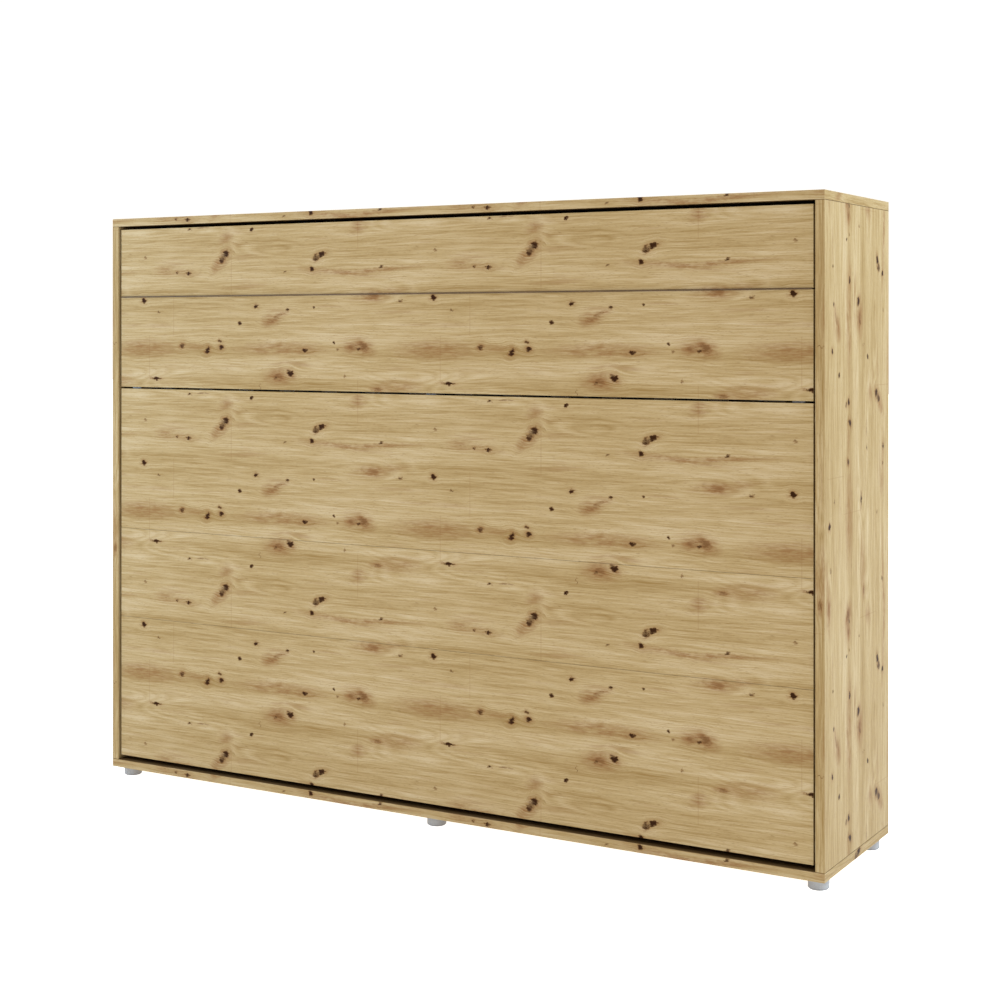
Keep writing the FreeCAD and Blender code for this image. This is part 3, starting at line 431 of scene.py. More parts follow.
def make_oak_group():
    """The printed oak: its colour and height from a place along and across the grain."""
    knot_group, speck_group = make_knot_group(), make_speck_group()
    tree = bpy.data.node_groups.new("oak_decor", "ShaderNodeTree")
    tree.interface.new_socket("Place", in_out="INPUT", socket_type="NodeSocketVector")
    tree.interface.new_socket("Colour", in_out="OUTPUT", socket_type="NodeSocketColor")
    tree.interface.new_socket("Height", in_out="OUTPUT", socket_type="NodeSocketFloat")
    start = tree.nodes.new("NodeGroupInput")
    end = tree.nodes.new("NodeGroupOutput")
    along, across, _ = separate(tree, start.outputs["Place"])
    wrapped = torus(tree, along, across)

    # rough outlines for the marks
    ragged = torus_noise(tree, wrapped, length=0.010, width=0.005, rough=0.65, out="Color")
    ragged = vector_node(tree, "SUBTRACT", ragged, (0.5, 0.5, 0.5))
    ragged = vector_node(tree, "MULTIPLY", ragged, RAGGED)
    torn = vector_node(tree, "ADD", combine(tree, along, across), ragged)
    core, halo, bent = add_marks(tree, knot_group, speck_group, torn)

    # the grain flows round the knots and wanders a little
    bent = vector_node(tree, "SUBTRACT", bent, ragged)
    wander = torus_noise(tree, wrapped, length=0.40, width=0.075, detail=1.0)
    flow = add_centred(tree, separate(tree, bent)[1], wander, GRAIN_WANDER)
    grain = torus(tree, along, flow)
    tone = grain_tone(tree, wrapped, grain)

    # planks of the print, each a shade of its own, with butt joints
    row = math_node(tree, "MULTIPLY", across, PLANKS / TILE_ACROSS)
    row_number = math_node(tree, "WRAP", math_node(tree, "FLOOR", row), PLANKS, 0)
    row_random = put(tree, "ShaderNodeTexWhiteNoise", {"W": row_number}, "Value", noise_dimensions="1D")
    butt = math_node(tree, "ADD", math_node(tree, "DIVIDE", along, TILE_ALONG), row_random)
    tone = add_centred(tree, tone, row_random, PLANKS_WEIGHT)
    colour = ramp(tree, tone, (0.12, OAK_DARK), (0.5, OAK_MIDDLE), (0.86, OAK_LIGHT))

    # reddish clouds, wider along the grain, and the halos of the knots
    cloud = torus_noise(tree, grain, length=0.20, width=0.020, rough=0.6)
    cloud = smooth_range(tree, cloud, 0.58, 0.80, 0.0, CLOUD_STRENGTH)
    patches = torus_noise(tree, grain, length=0.03, width=0.0035, rough=0.6)
    patches = smooth_range(tree, patches, 0.3, 0.65)
    halo = broken_up(tree, halo, patches, 0.7, 0.14)
    colour = mix(tree, math_node(tree, "MAXIMUM", cloud, halo), colour, OAK_RED)

    # pores: short dark dashes along the grain
    pores = torus_noise(tree, grain, length=0.012, width=0.0009, detail=1.0)
    pores = smooth_range(tree, pores, 0.58, 0.74)
    colour = mix(tree, math_node(tree, "MULTIPLY", pores, PORE_STRENGTH), colour, PORE_BROWN)

    # the knots and specks themselves: a reddish stain with a dark heart
    stain = broken_up(tree, smooth_range(tree, core, 0.0, 0.6, 0.0, 0.75), patches, 0.5, 0.5)
    colour = mix(tree, stain, colour, OAK_RED)
    heart = broken_up(tree, core, patches, 0.45, 0.68)
    colour = mix(tree, smooth_range(tree, heart, 0.22, 0.92), colour, OAK_KNOT)

    # plank edges and butt ends, thin and faint
    edge = thin_lines(tree, row, 0.007, 0.002, 0.12)
    end_grain = thin_lines(tree, butt, 0.0017, 0.0008, 0.22)
    colour = mix(tree, math_node(tree, "MAXIMUM", edge, end_grain), colour, OAK_RED)

    # the embossing of the laminate repeats with the print, but runs straight past the knots
    height = torus_noise(tree, wrapped, length=0.014, width=0.0011, detail=1.0, rough=0.6)
    tree.links.new(colour, end.inputs["Colour"])
    tree.links.new(height, end.inputs["Height"])
    return tree


def pick_place(tree, faces):
    """Place along and across the grain for faces that look along X, Y or Z.
    Each entry is (axis along, its sign and shift), (axis across, its sign and shift)."""
    axes = list(separate(tree, object_place(tree)))
    axes.append(math_node(tree, "ABSOLUTE", axes[0]))
    normal = vector_node(tree, "ABSOLUTE", put(tree, "ShaderNodeTexCoord", out="Normal"))
    towards = separate(tree, normal)
    places = []
    for entry in faces:
        parts = []
        for axis, sign, shift in entry:
            parts.append(math_node(tree, "MULTIPLY_ADD", axes[axis], sign, shift))
        places.append(combine(tree, *parts))
    place = places[1]
    for index in (0, 2):
        chosen = math_node(tree, "GREATER_THAN", towards[index], FACING)
        place = mix_vector(tree, chosen, place, places[index])
    return place


def oak(name, group, faces, seams=()):
    """The decor cut as those faces say, with a dark line at the height of each seam: the joint of the panels,
    its shade painted into the colour.
    """
    material, tree, shader = new_material(name, roughness=0.5, Specular_IOR_Level=0.03)
    node = tree.nodes.new("ShaderNodeGroup")
    node.node_tree = group
    place = pick_place(tree, faces)
    tree.links.new(place, node.inputs["Place"])
    colour = node.outputs["Colour"]
    z = separate(tree, object_place(tree))[2]
    # painted shade: a dark line along each seam where the panels meet
    for level in seams:
        off = math_node(tree, "ABSOLUTE", math_node(tree, "SUBTRACT", z, level))
        line = smooth_range(tree, off, *SEAM_EDGES, 0.0, SEAM_STRENGTH)
        colour = mix(tree, line, colour, SEAM_SHADE_BROWN)
    tree.links.new(colour, shader.inputs["Base Color"])
    rough = smooth_range(tree, node.outputs["Height"], 0.3, 0.7, 0.54, 0.42)
    tree.links.new(rough, shader.inputs["Roughness"])
    tree.links.new(bump(tree, node.outputs["Height"], 0.12 * MM, 0.8), shader.inputs["Normal"])
    return material


def make_oaks():
    """The decor as it is cut for the fronts, the sides, the top and the bottom.
    The shifts choose which part of the repeat each face shows."""
    group = make_oak_group()
    x, y, z, outward = 0, 1, 2, 3
    fronts = (
        ((z, 1, 0.31), (y, 1, 0.36)),
        ((x, 1, PRINT_START), (z, 1, 0.0)),
        ((x, 1, PRINT_START), (y, 1, 0.34)),
    )
    sides = (
        ((z, 1, -0.730), (y, -1, 0.242)),
        ((z, 1, -0.727), (outward, 1, 0.066)),
        ((y, 1, 0.40), (x, 1, 0.10)),
    )
    top = (
        ((y, 1, 0.52), (z, 1, -1.42)),
        ((x, 1, PRINT_START), (z, 1, -1.510)),
        ((x, 1, PRINT_START), (y, 1, 0.228)),
    )
    bottom = (
        ((y, 1, 0.70), (z, 1, 0.06)),
        ((x, 1, PRINT_START), (z, 1, 0.021)),
        ((x, 1, 0.870), (y, 1, 0.40)),
    )
    levels = (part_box("side_panel_left")[0][2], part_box("side_panel_left")[1][2])
    return (
        oak("oak_fronts", group, fronts),
        oak("oak_sides", group, sides, levels),
        oak("oak_top", group, top, levels[1:]),
        oak("oak_bottom", group, bottom, levels[:1]),
    )


# ---------------------------------------------------------------- other materials


def speckled(name, dark, light, grain, roughness, stretch=(1, 1, 1), height=0.0, detail=3.0, **sockets):
    """A surface with two close shades in a noise of that grain, uneven gloss, and relief of that height."""
    material, tree, shader = new_material(name, roughness=roughness, **sockets)
    place = vector_node(tree, "MULTIPLY", object_place(tree), stretch)
    pattern = noise(tree, place, 1 / grain, detail, 0.6)
    clouds = noise(tree, object_place(tree), 9.0, 2.0)
    shade = add_centred(tree, pattern, clouds, 0.7)
    tree.links.new(ramp(tree, shade, (0.3, dark), (0.7, light)), shader.inputs["Base Color"])
    gloss = smooth_range(tree, pattern, 0.3, 0.7, roughness * 0.85, min(roughness * 1.15, 1.0))
    tree.links.new(gloss, shader.inputs["Roughness"])
    if height:
        tree.links.new(bump(tree, pattern, height), shader.inputs["Normal"])
    return material


def beech_material():
    """Beech veneer with its grain along Z and short dark flecks."""
    material, tree, shader = new_material("beech_veneer", roughness=0.5)
    place = object_place(tree)
    long_grain = noise(tree, vector_node(tree, "MULTIPLY", place, (260, 60, 5)), 1.0, 3.0, 0.6)
    flecks = noise(tree, vector_node(tree, "MULTIPLY", place, (900, 300, 110)), 1.0, 1.0)
    flecks = smooth_range(tree, flecks, 0.60, 0.72)
    colour = ramp(tree, long_grain, (0.28, (0.43, 0.27, 0.13)), (0.72, (0.66, 0.47, 0.27)))
    colour = mix(tree, math_node(tree, "MULTIPLY", flecks, 0.45), colour, (0.30, 0.16, 0.07))
    tree.links.new(colour, shader.inputs["Base Color"])
    tree.links.new(bump(tree, long_grain, 0.15 * MM), shader.inputs["Normal"])
    return material


def hardboard_material():
    """Brown hardboard: felted fibres under faint clouds."""
    material, tree, shader = new_material("hardboard_backs", roughness=0.62)
    place = object_place(tree)
    fibres = noise(tree, vector_node(tree, "MULTIPLY", place, (420, 420, 420)), 1.0, 3.0, 0.7)
    clouds = noise(tree, place, 9.0, 2.0)
    shade = add_centred(tree, fibres, clouds, 0.14)
    colour = ramp(tree, shade, (0.25, (0.20, 0.125, 0.065)), (0.5, (0.29, 0.19, 0.105)),
                  (0.78, (0.38, 0.26, 0.15)))
    tree.links.new(colour, shader.inputs["Base Color"])
    tree.links.new(bump(tree, fibres, 0.12 * MM), shader.inputs["Normal"])
    return material


FOOT_SHADE_HEIGHTS = (0.0065, 0.0015)  # the heights between which painted shade darkens the foot's lower bevel


def foot_material():
    """Moulded grey plastic with fine scratches, and painted shade darkening it towards the bevelled lower
    edge.
    """
    material, tree, shader = new_material("foot_plastic", roughness=0.5)
    place = object_place(tree)
    z = separate(tree, place)[2]
    grain = noise(tree, place, 900.0, 2.0, 0.6)
    scuffs = noise(tree, vector_node(tree, "MULTIPLY", place, (60, 60, 900)), 1.0, 2.0)
    # painted shade: the bevelled lower edge darkened in the colour
    low = smooth_range(tree, z, *FOOT_SHADE_HEIGHTS, 0.0, 0.62)
    colour = ramp(tree, grain, (0.3, (0.205, 0.205, 0.205)), (0.7, (0.275, 0.275, 0.275)))
    colour = mix(tree, low, colour, (0.10, 0.10, 0.10))
    tree.links.new(colour, shader.inputs["Base Color"])
    tree.links.new(smooth_range(tree, scuffs, 0.3, 0.7, 0.42, 0.62), shader.inputs["Roughness"])
    tree.links.new(bump(tree, grain, 0.05 * MM), shader.inputs["Normal"])
    return material


HERRINGBONE = 0.005
WEFT_PITCH = 0.0022
WARP_PITCH = 0.0017


def webbing_material(name, dark, light):
    """Flat woven webbing: rows of yarn across the width, in a herringbone along the length."""
    material, tree, shader = new_material(name, roughness=0.78, Sheen_Weight=0.25)
    x, y, z = separate(tree, object_place(tree))
    run = math_node(tree, "ADD", y, z)
    slope = math_node(tree, "PINGPONG", x, HERRINGBONE)
    weft = waves(tree, math_node(tree, "ADD", run, slope), WEFT_PITCH)
    warp = waves(tree, x, WARP_PITCH)
    weave = math_node(tree, "MULTIPLY_ADD", math_node(tree, "MULTIPLY", weft, warp), 0.25, 0.5)
    weave = math_node(tree, "MULTIPLY_ADD", weft, 0.2, weave)
    fuzz = noise(tree, object_place(tree), 1500.0, 1.0)
    shade = add_centred(tree, weave, fuzz, 0.5)
    tree.links.new(ramp(tree, shade, (0.2, dark), (0.85, light)), shader.inputs["Base Color"])
    tree.links.new(bump(tree, weave, 0.35 * MM), shader.inputs["Normal"])
    return material


def steel_material(name, dark, light, roughness, stretch):
    """Plated steel with faint drawn streaks."""
    return speckled(name, dark, light, 0.004, roughness, stretch, 0.02 * MM, 4.0, metallic=1.0)


# ---------------------------------------------------------------- mesh helpers


def mesh_piece(name, vertices, faces, material, body):
    """A smooth closed piece that rides on a body."""
    mesh = bpy.data.meshes.new(name)
    mesh.from_pydata([tuple(v) for v in vertices], [], faces)
    mesh.validate()
    model = bmesh.new()
    model.from_mesh(mesh)
    bmesh.ops.recalc_face_normals(model, faces=model.faces)
    model.to_mesh(mesh)
    model.free()
    mesh.shade_smooth()
    piece = bpy.data.objects.new(name, mesh)
    bpy.context.scene.collection.objects.link(piece)
    mesh.materials.append(material)
    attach(piece, body)
    return piece


def sweep(path, section, side, closed=False):
    """Vertices and faces of a section drawn along a path. The section is (towards side, across) pairs."""
    vertices, faces = [], []
    count, ring = len(path), len(section)
    for index, point in enumerate(path):
        before = path[index - 1] if closed or index else point
        after = path[(index + 1) % count] if closed or index < count - 1 else point
        tangent = (Vector(after) - Vector(before)).normalized()
        across = tangent.cross(side)
        for s, n in section:
            vertices.append(Vector(point) + side * s + across * n)
    for index in range(count if closed else count - 1):
        other = (index + 1) % count
        for k in range(ring):
            m = (k + 1) % ring
            faces.append((index * ring + k, index * ring + m, other * ring + m, other * ring + k))
    if not closed:
        faces.append(tuple(range(ring)))
        faces.append(tuple((count - 1) * ring + k for k in range(ring)))
    return vertices, faces


BEND_STEPS = 6


def rounded_path(corners, radius):
    """An open path through corners, each cut by a curve that starts and ends that far from it."""
    path = [Vector(corners[0])]
    for before, corner, after in zip(corners, corners[1:], corners[2:]):
        corner = Vector(corner)
        to_before = (Vector(before) - corner).normalized()
        to_after = (Vector(after) - corner).normalized()
        first, last = corner + to_before * radius, corner + to_after * radius
        for step in range(BEND_STEPS + 1):
            t = step / BEND_STEPS
            path.append(first.lerp(corner, t).lerp(corner.lerp(last, t), t))
    path.append(Vector(corners[-1]))
    return path


def join_meshes(parts):
    """Vertices and faces of several meshes as one."""
    vertices, faces = [], []
    for part_vertices, part_faces in parts:
        base = len(vertices)
        vertices += list(part_vertices)
        faces += [tuple(base + index for index in face) for face in part_faces]
    return vertices, faces


# ---------------------------------------------------------------- mattress

TINY = 1e-9
GRID_STEP = 0.022
INSET = 0.008  # the shell starts this far inside the solid that it stands for
CORNER_RADIUS = 0.07
SWELL_CAP = 0.012
SWELL_FRAMES = 20
QUILT_PITCH = 0.16
QUILT_TURN = math.pi / QUILT_PITCH / math.sqrt(2)
QUILT_DEPTH = 0.007
QUILT_POWER = 0.35  # below 1, it makes full cushions between narrow lines
QUILT_LEVEL = 0.75  # the height of the quilting that stays level with the shell
FLAT_NORMAL = 0.75  # a face begins where the normal has this much of Y
FLAT_FADE = 0.2
EDGE_MARGIN = 0.01  # no quilting this close to the edge, and less of it over the fade
EDGE_FADE = 0.05
SLAT_CLEARANCE = 0.0002
SLEEP_LIMIT = 0.0290  # the face swells up to here, and under a strap only up to the next
STRAP_LIMIT = 0.0218
STRAP_X = 0.620
PRESS_HALF_WIDTH = 0.021
PRESS_FADE = 0.05
FABRIC_Z = (0.0925, 1.5015)  # between the two ends of the straps
TAPE_RADIUS = 0.0045
TAPE_POINTS = 10
TAPE_INWARD = 0.004
TAPE_CLEARANCE = 0.0003
TAPE_X = 0.9985
TAPE_Z = (0.0965, 1.4975)

KNIT_PITCHES = (0.0021, 0.0019, 0.0017)  # along X, Y and Z
BORDER_EDGE = (0.0665, 0.0645)  # the border ends this far from the middle of the thickness
FELT_EDGE = (-0.1295, -0.1315)
TICKING_DARK = (0.42, 0.405, 0.375)
TICKING_LIGHT = (0.53, 0.515, 0.48)
FIGURE_GREY = (0.30, 0.31, 0.33)
THREAD_GREY = (0.22, 0.215, 0.20)
MESH_GREY = (0.20, 0.21, 0.23)
MESH_HOLE = (0.055, 0.06, 0.068)
FELT_DARK = (0.045, 0.028, 0.016)
FELT_LIGHT = (0.085, 0.058, 0.036)


def shell_grid(low, high):
    """A closed box of square faces, as vertices and faces, with a lattice place for each vertex."""
    size = [high[i] - low[i] for i in range(3)]
    counts = [max(2, round(size[i] / GRID_STEP)) for i in range(3)]
    index, vertices, faces = {}, [], []

    def vertex(key):
        if key not in index:
            index[key] = len(vertices)
            vertices.append([low[i] + size[i] * key[i] / counts[i] for i in range(3)])
        return index[key]

    for axis in range(3):
        a, b = [other for other in range(3) if other != axis]
        for end in (0, counts[axis]):
            for i in range(counts[a]):
                for j in range(counts[b]):
                    keys = []
                    for da, db in ((0, 0), (1, 0), (1, 1), (0, 1)):
                        key = [0, 0, 0]
                        key[axis], key[a], key[b] = end, i + da, j + db
                        keys.append(tuple(key))
                    faces.append([vertex(key) for key in keys])
    return np.array(vertices), faces, index, counts


def round_plan(points, middle, half, radius):
    """Rounds the four corners of a plan in X and Z, square rings turning into round ones."""
    offset_x = points[:, 0] - middle[0]
    offset_z = points[:, 2] - middle[2]
    dx = np.maximum(np.abs(offset_x) - (half[0] - radius), 0)
    dz = np.maximum(np.abs(offset_z) - (half[2] - radius), 0)
    length = np.hypot(dx, dz)
    scale = np.where(length > 0, np.maximum(dx, dz) / np.maximum(length, TINY), 1.0)
    points[:, 0] -= np.sign(offset_x) * dx * (1 - scale)
    points[:, 2] -= np.sign(offset_z) * dz * (1 - scale)
    return points


def inflate(piece, cap):
    """Swells a closed mesh with a cloth simulation, and keeps each point within cap of where it began."""
    rest = np.array([v.co for v in piece.data.vertices])
    modifier = piece.modifiers.new("swell", "CLOTH")
    settings = modifier.settings
    settings.quality = 5
    settings.use_pressure = True
    settings.uniform_pressure_force = 4
    settings.effector_weights.gravity = 0
    modifier.collision_settings.use_collision = False
    scene = bpy.context.scene
    for number in range(1, SWELL_FRAMES + 1):
        scene.frame_set(number)
    depsgraph = bpy.context.evaluated_depsgraph_get()
    moved = np.array([v.co for v in piece.evaluated_get(depsgraph).data.vertices])
    piece.modifiers.remove(modifier)
    scene.frame_set(1)
    step = moved - rest
    length = np.linalg.norm(step, axis=1, keepdims=True)
    moved = rest + step * np.minimum(1, cap / np.maximum(length, TINY))
    piece.data.vertices.foreach_set("co", moved.astype(np.float32).ravel())


def quilt_lines(x, z):
    """How far a place is from the nearest line of the diamond quilting, as 0 on a line to 1 between."""
    a = np.abs(np.sin(math.pi * (x + z) / QUILT_PITCH / math.sqrt(2)))
    b = np.abs(np.sin(math.pi * (x - z) / QUILT_PITCH / math.sqrt(2)))
    return a * b


def diamond_stitches(tree, x, z):
    """1 on the lines of the diamond quilting, 0 between them."""
    lines = []
    for operation in ("ADD", "SUBTRACT"):
        turned = math_node(tree, operation, x, z)
        ridges = math_node(tree, "SINE", math_node(tree, "MULTIPLY", turned, QUILT_TURN))
        lines.append(math_node(tree, "ABSOLUTE", ridges))
    return smooth_range(tree, math_node(tree, "MINIMUM", *lines), 0.04, 0.012)


def ticking_material():
    """Quilted knitted ticking, with a grey spacer mesh for the border and dark felt underneath."""
    material, tree, shader = new_material("mattress_ticking", roughness=0.85, Sheen_Weight=0.35)
    x, y, z = separate(tree, object_place(tree))
    knit_x, knit_y, knit_z = (waves(tree, value, pitch) for value, pitch in zip((x, y, z), KNIT_PITCHES))
    loops = math_node(tree, "ADD", math_node(tree, "MULTIPLY", knit_x, knit_z), knit_y)
    stitch = diamond_stitches(tree, x, z)
    low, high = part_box("mattress")
    border = math_node(tree, "ABSOLUTE", math_node(tree, "SUBTRACT", y, (low[1] + high[1]) / 2))
    border = smooth_range(tree, border, *BORDER_EDGE)
    mottle = noise(tree, object_place(tree), 22.0, 3.0)
    fuzz = noise(tree, object_place(tree), 1400.0, 1.0)
    shade = add_centred(tree, mottle, fuzz, 0.7)
    colour = ramp(tree, shade, (0.25, TICKING_DARK), (0.75, TICKING_LIGHT))

    # a figure of the knit, in spots a shade darker, and the thread of the quilting
    figure = put(tree, "ShaderNodeTexVoronoi", {"Vector": object_place(tree), "Scale": 38.0},
                 "Distance", feature="SMOOTH_F1")
    figure = smooth_range(tree, figure, 0.34, 0.46, 0.0, 0.32)
    colour = mix(tree, figure, colour, FIGURE_GREY)
    face = math_node(tree, "SUBTRACT", 1.0, border)
    thread = math_node(tree, "MULTIPLY", math_node(tree, "MULTIPLY", stitch, 0.8), face)
    colour = mix(tree, thread, colour, THREAD_GREY)

    # the open mesh of the border
    holes = put(tree, "ShaderNodeTexVoronoi", {"Vector": object_place(tree), "Scale": 330.0}, "Distance")
    holes = smooth_range(tree, holes, 0.42, 0.25)
    colour = mix(tree, border, colour, mix(tree, holes, MESH_GREY, MESH_HOLE))

    # the felt underneath, with rows of dots
    under = smooth_range(tree, y, *FELT_EDGE)
    dots = math_node(tree, "MULTIPLY", knit_x, knit_z)
    felt = mix(tree, smooth_range(tree, dots, 0.2, 0.6), FELT_DARK, FELT_LIGHT)
    tree.links.new(mix(tree, under, colour, felt), shader.inputs["Base Color"])

    height = math_node(tree, "MULTIPLY_ADD", stitch, -2.0, loops)
    height = math_node(tree, "MULTIPLY_ADD", math_node(tree, "MULTIPLY", holes, border), -2.0, height)
    tree.links.new(bump(tree, height, 0.22 * MM, 0.7), shader.inputs["Normal"])
    return material


def tape_material():
    return speckled("mattress_tape", (0.13, 0.14, 0.155), (0.20, 0.21, 0.23), 0.0016, 0.8,
                    height=0.15 * MM, detail=2.0)


def face_edges(piece, index, counts):
    """The two closed lines where the faces meet the border, as points."""
    edges = []
    for level in (0, counts[1]):
        walk = [(i, level, 0) for i in range(counts[0])]
        walk += [(counts[0], level, k) for k in range(counts[2])]
        walk += [(i, level, counts[2]) for i in range(counts[0], 0, -1)]
        walk += [(0, level, k) for k in range(counts[2], 0, -1)]
        edges.append([piece.data.vertices[index[key]].co.copy() for key in walk])
    return edges


def make_finer(piece):
    """Subdivides a piece once, and returns its new mesh."""
    subdivide = piece.modifiers.new("finer", "SUBSURF")
    subdivide.levels = subdivide.render_levels = 1
    depsgraph = bpy.context.evaluated_depsgraph_get()
    finer = bpy.data.meshes.new_from_object(piece.evaluated_get(depsgraph))
    piece.modifiers.clear()
    piece.data = finer
    finer.shade_smooth()
    return finer


def quilt_and_press(mesh, middle, half, slat_face):
    """Quilts both faces, lays the lower one flat on the slats, and presses the straps into the upper one."""
    co = np.array([v.co for v in mesh.vertices])
    normals = np.array([v.normal for v in mesh.vertices])
    x, y, z = co.T
    facing = np.clip((np.abs(normals[:, 1]) - FLAT_NORMAL) / FLAT_FADE, 0, 1)
    from_edge = np.minimum(half[0] - np.abs(x - middle[0]), half[2] - np.abs(z - middle[2]))
    facing *= np.clip((from_edge - EDGE_MARGIN) / EDGE_FADE, 0, 1)
    puff = quilt_lines(x, z) ** QUILT_POWER
    y += np.sign(normals[:, 1]) * facing * QUILT_DEPTH * (puff - QUILT_LEVEL)
    y[:] = np.maximum(y, slat_face + SLAT_CLEARANCE)
    free = np.clip((np.abs(np.abs(x) - STRAP_X) - PRESS_HALF_WIDTH) / PRESS_FADE, 0, 1)
    free = free * free * (3 - 2 * free)
    y[:] = np.minimum(y, STRAP_LIMIT + (SLEEP_LIMIT - STRAP_LIMIT) * free)
    z[:] = np.clip(z, *FABRIC_Z)
    mesh.vertices.foreach_set("co", co.astype(np.float32).ravel())
    mesh.update()


def clamp(value, low, high):
    return min(max(value, low), high)


def make_tape(edges, material, slat_face):
    """A round tape along both edges, clear of the slats and below the straps."""
    turns = [TURN * k / TAPE_POINTS for k in range(TAPE_POINTS)]
    circle = [(TAPE_RADIUS * math.cos(turn), TAPE_RADIUS * math.sin(turn)) for turn in turns]
    rolls = []
    for edge, inward in zip(edges, (TAPE_INWARD, -TAPE_INWARD)):
        path = []
        for point in edge:
            place = point.copy()
            place.y = clamp(place.y + inward, slat_face + TAPE_RADIUS + TAPE_CLEARANCE,
                            STRAP_LIMIT - TAPE_RADIUS)
            place.x = clamp(place.x, -TAPE_X, TAPE_X)
            place.z = clamp(place.z, *TAPE_Z)
            path.append(place)
        rolls.append(sweep(path, circle, Y_AXIS, closed=True))
    vertices, faces = join_meshes(rolls)
    mesh_piece("mattress_edge_tape", vertices, faces, material, "bed")


def make_mattress():
    low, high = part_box("mattress")
    low = [value + INSET for value in low]
    high = [value - INSET for value in high]
    points, faces, index, counts = shell_grid(low, high)
    middle = [(low[i] + high[i]) / 2 for i in range(3)]
    half = [(high[i] - low[i]) / 2 for i in range(3)]
    points = round_plan(points, middle, half, CORNER_RADIUS)
    piece = mesh_piece("mattress_quilted", points, faces, ticking_material(), "bed")
    inflate(piece, SWELL_CAP)
    edges = face_edges(piece, index, counts)
    slat_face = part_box("slats")[1][1]
    quilt_and_press(make_finer(piece), middle, half, slat_face)
    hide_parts("mattress")
    make_tape(edges, tape_material(), slat_face)


# ---------------------------------------------------------------- straps


STRAP_WIDTH = 0.040
STRAP_THICKNESS = 0.002
STRAP_BEND = 0.012
SELVEDGE = 0.0035
SELVEDGE_CHAMFER = 0.0012
SELVEDGE_STEP = 0.001


def strap_section():
    """A flat band with thick woven edges, as (across, through) pairs."""
    half = STRAP_WIDTH / 2
    side, middle = STRAP_THICKNESS * 0.35, STRAP_THICKNESS * 0.8
    left = [
        (-half, side),
        (-half + SELVEDGE_CHAMFER, STRAP_THICKNESS),
        (-half + SELVEDGE, STRAP_THICKNESS),
        (-half + SELVEDGE + SELVEDGE_STEP, middle),
    ]
    right = [(-across, through) for across, through in reversed(left)]
    bottom = [(half - SELVEDGE_CHAMFER, 0), (-half + SELVEDGE_CHAMFER, 0)]
    return left + right + bottom


def make_straps(webbing):
    """Each strap runs in a U from the frame's lower rail over the mattress to the upper rail."""
    low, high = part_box("mattress_straps")
    section = [(across, -through) for across, through in strap_section()]
    bands = []
    for x in (-STRAP_X, STRAP_X):
        back = high[1] - STRAP_THICKNESS
        bottom, top = low[2] + STRAP_THICKNESS, high[2] - STRAP_THICKNESS
        corners = [(x, low[1], bottom), (x, back, bottom), (x, back, top), (x, low[1], top)]
        bands.append(sweep(rounded_path(corners, STRAP_BEND), section, X_AXIS))
    vertices, faces = join_meshes(bands)
    piece = mesh_piece("mattress_straps_woven", vertices, faces, webbing, "bed")
    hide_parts("mattress_straps")


# ---------------------------------------------------------------- floor

FLOOR_SIZE = 60.0
FLOOR_GLOW = (1.0, 0.985, 0.97, 1)
FLOOR_GLOW_STRENGTH = 0.98


def make_floor():
    """A plain pale floor that glows, as a lit studio sweep does."""
    material, tree, shader = new_material("floor_pale", roughness=0.9)
    pale = noise(tree, object_place(tree), 0.6, 2.0)
    tree.links.new(ramp(tree, pale, (0.3, (0.90, 0.90, 0.90)), (0.7, (0.92, 0.92, 0.92))),
                   shader.inputs["Base Color"])
    shader.inputs["Specular IOR Level"].default_value = 0.0
    shader.inputs["Emission Color"].default_value = FLOOR_GLOW
    shader.inputs["Emission Strength"].default_value = FLOOR_GLOW_STRENGTH
    mesh = bpy.data.meshes.new("floor")
    half = FLOOR_SIZE / 2
    corners = [(-half, -half, 0), (half, -half, 0), (half, half, 0), (-half, half, 0)]
    mesh.from_pydata(corners, [], [(0, 1, 2, 3)])
    mesh.materials.append(material)
    floor = bpy.data.objects.new("floor", mesh)
    bpy.context.scene.collection.objects.link(floor)


# ---------------------------------------------------------------- all of it


def dress(nodes, material, *names):
    """Puts a material in every slot of those nodes."""
    for name in names:
        mesh = nodes[name].data
        if not mesh.materials:
            mesh.materials.append(material)
        for slot in range(len(mesh.materials)):
            mesh.materials[slot] = material


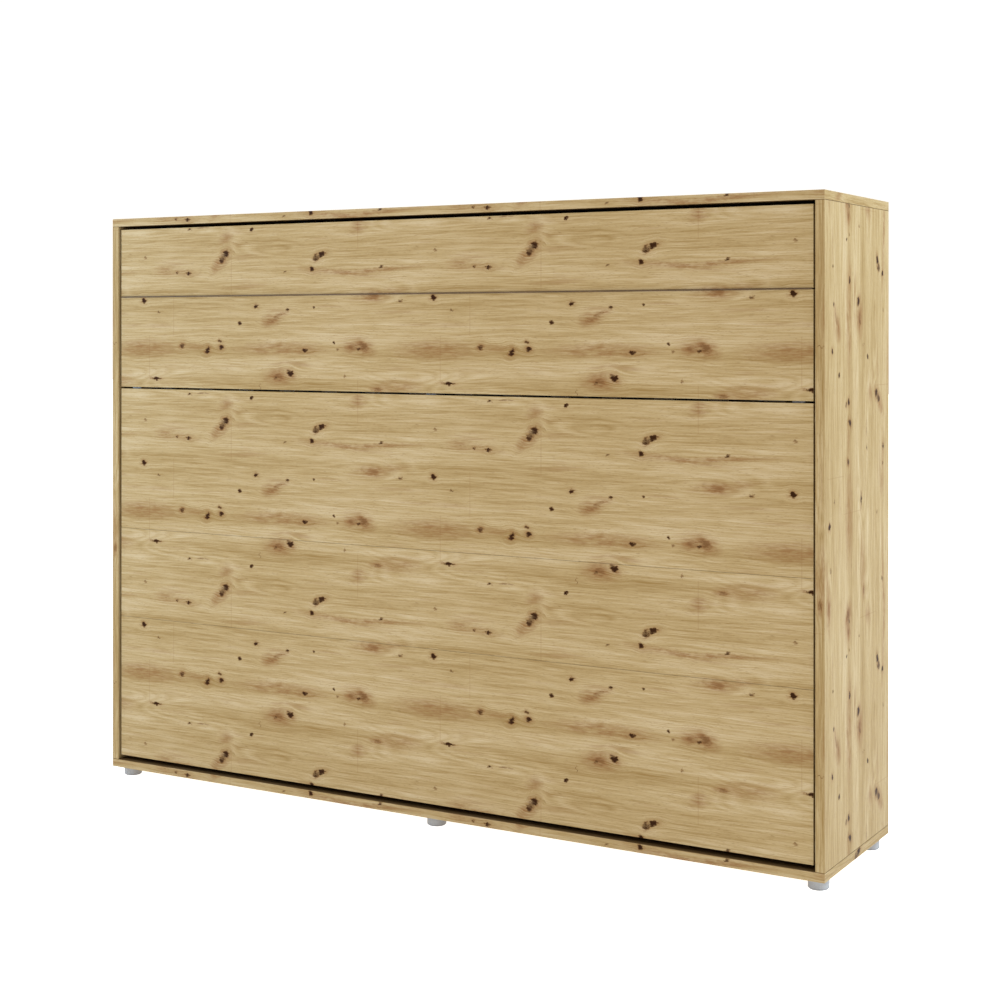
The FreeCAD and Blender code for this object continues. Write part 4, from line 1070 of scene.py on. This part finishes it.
def main():
    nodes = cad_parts
    make_camera()
    make_light()

    fronts, sides, top, bottom = make_oaks()
    dress(nodes, fronts, "front_board_lower", "front_board_middle", "front_board_upper", "front_board_top",
          "leg_board")
    dress(nodes, sides, "side_panel_left", "side_panel_right")
    dress(nodes, top, "top_panel", "rear_rail_top")
    dress(nodes, bottom, "bottom_panel", "rear_rail_bottom")

    dress(nodes, hardboard_material(), "back_panel_left", "back_panel_right")
    white = speckled("white_plastic", (0.46, 0.45, 0.43), (0.56, 0.55, 0.53), 0.0008, 0.5, height=0.03 * MM)
    dress(nodes, white, "back_joint_strip")
    dress(nodes, beech_material(), "slats", "wooden_dowels")
    zinc = steel_material("zinc_plate", (0.30, 0.31, 0.33), (0.46, 0.47, 0.49), 0.36, (1, 1, 0.25))
    dress(nodes, zinc, "board_screws", "foot_screws", "hardware_screws", "leg_screws", "hinge_screws_bed",
          "cam_bolts", "cam_locks", "frame_bolts", "frame_nuts", "strut_studs", "strut_anchors",
          "strut_clips_bed", "strut_clips_cabinet", "wall_brackets", "pivot_plates", "bed_pivot_brackets",
          "bumper_brackets", "leg_brackets")
    dress(nodes, foot_material(), "feet")
    black = speckled("black_plastic", (0.018, 0.018, 0.019), (0.035, 0.035, 0.037), 0.0007, 0.45,
                     height=0.05 * MM)
    dress(nodes, black, "slat_holders", "pivot_bushes", "strap_buckles", "tube_end_caps")
    rubber = speckled("rubber", (0.020, 0.019, 0.018), (0.040, 0.038, 0.036), 0.001, 0.85, height=0.08 * MM)
    dress(nodes, rubber, "closing_bumpers", "leg_glides")
    paint = speckled("frame_powder_coat", (0.29, 0.29, 0.285), (0.37, 0.37, 0.365), 0.0009, 0.38,
                     height=0.05 * MM)
    dress(nodes, paint, "frame_tube_left", "frame_tube_middle", "frame_tube_right", "frame_rail_lower",
          "frame_rail_middle", "frame_rail_upper", "leg_stay_left", "leg_stay_right")
    bronze = speckled("bronze_steel", (0.055, 0.032, 0.018), (0.10, 0.060, 0.032), 0.002, 0.4,
                      metallic=0.85, height=0.02 * MM)
    dress(nodes, bronze, "hinge_leaf_bed", "hinge_leaf_leg", "hinge_pin")
    chrome = steel_material("chrome_bar", (0.38, 0.39, 0.41), (0.52, 0.53, 0.55), 0.14, (1, 1, 0.3))
    dress(nodes, chrome, "mattress_retainers", "strut_rod_left", "strut_rod_right")
    strut = speckled("strut_paint", (0.022, 0.022, 0.024), (0.038, 0.038, 0.041), 0.0009, 0.32,
                     height=0.03 * MM)
    dress(nodes, strut, "strut_cylinder_left", "strut_cylinder_right")

    make_mattress()
    webbing = webbing_material("strap_webbing", (0.025, 0.025, 0.030), (0.085, 0.085, 0.095))
    make_straps(webbing)
    make_floor()


main()
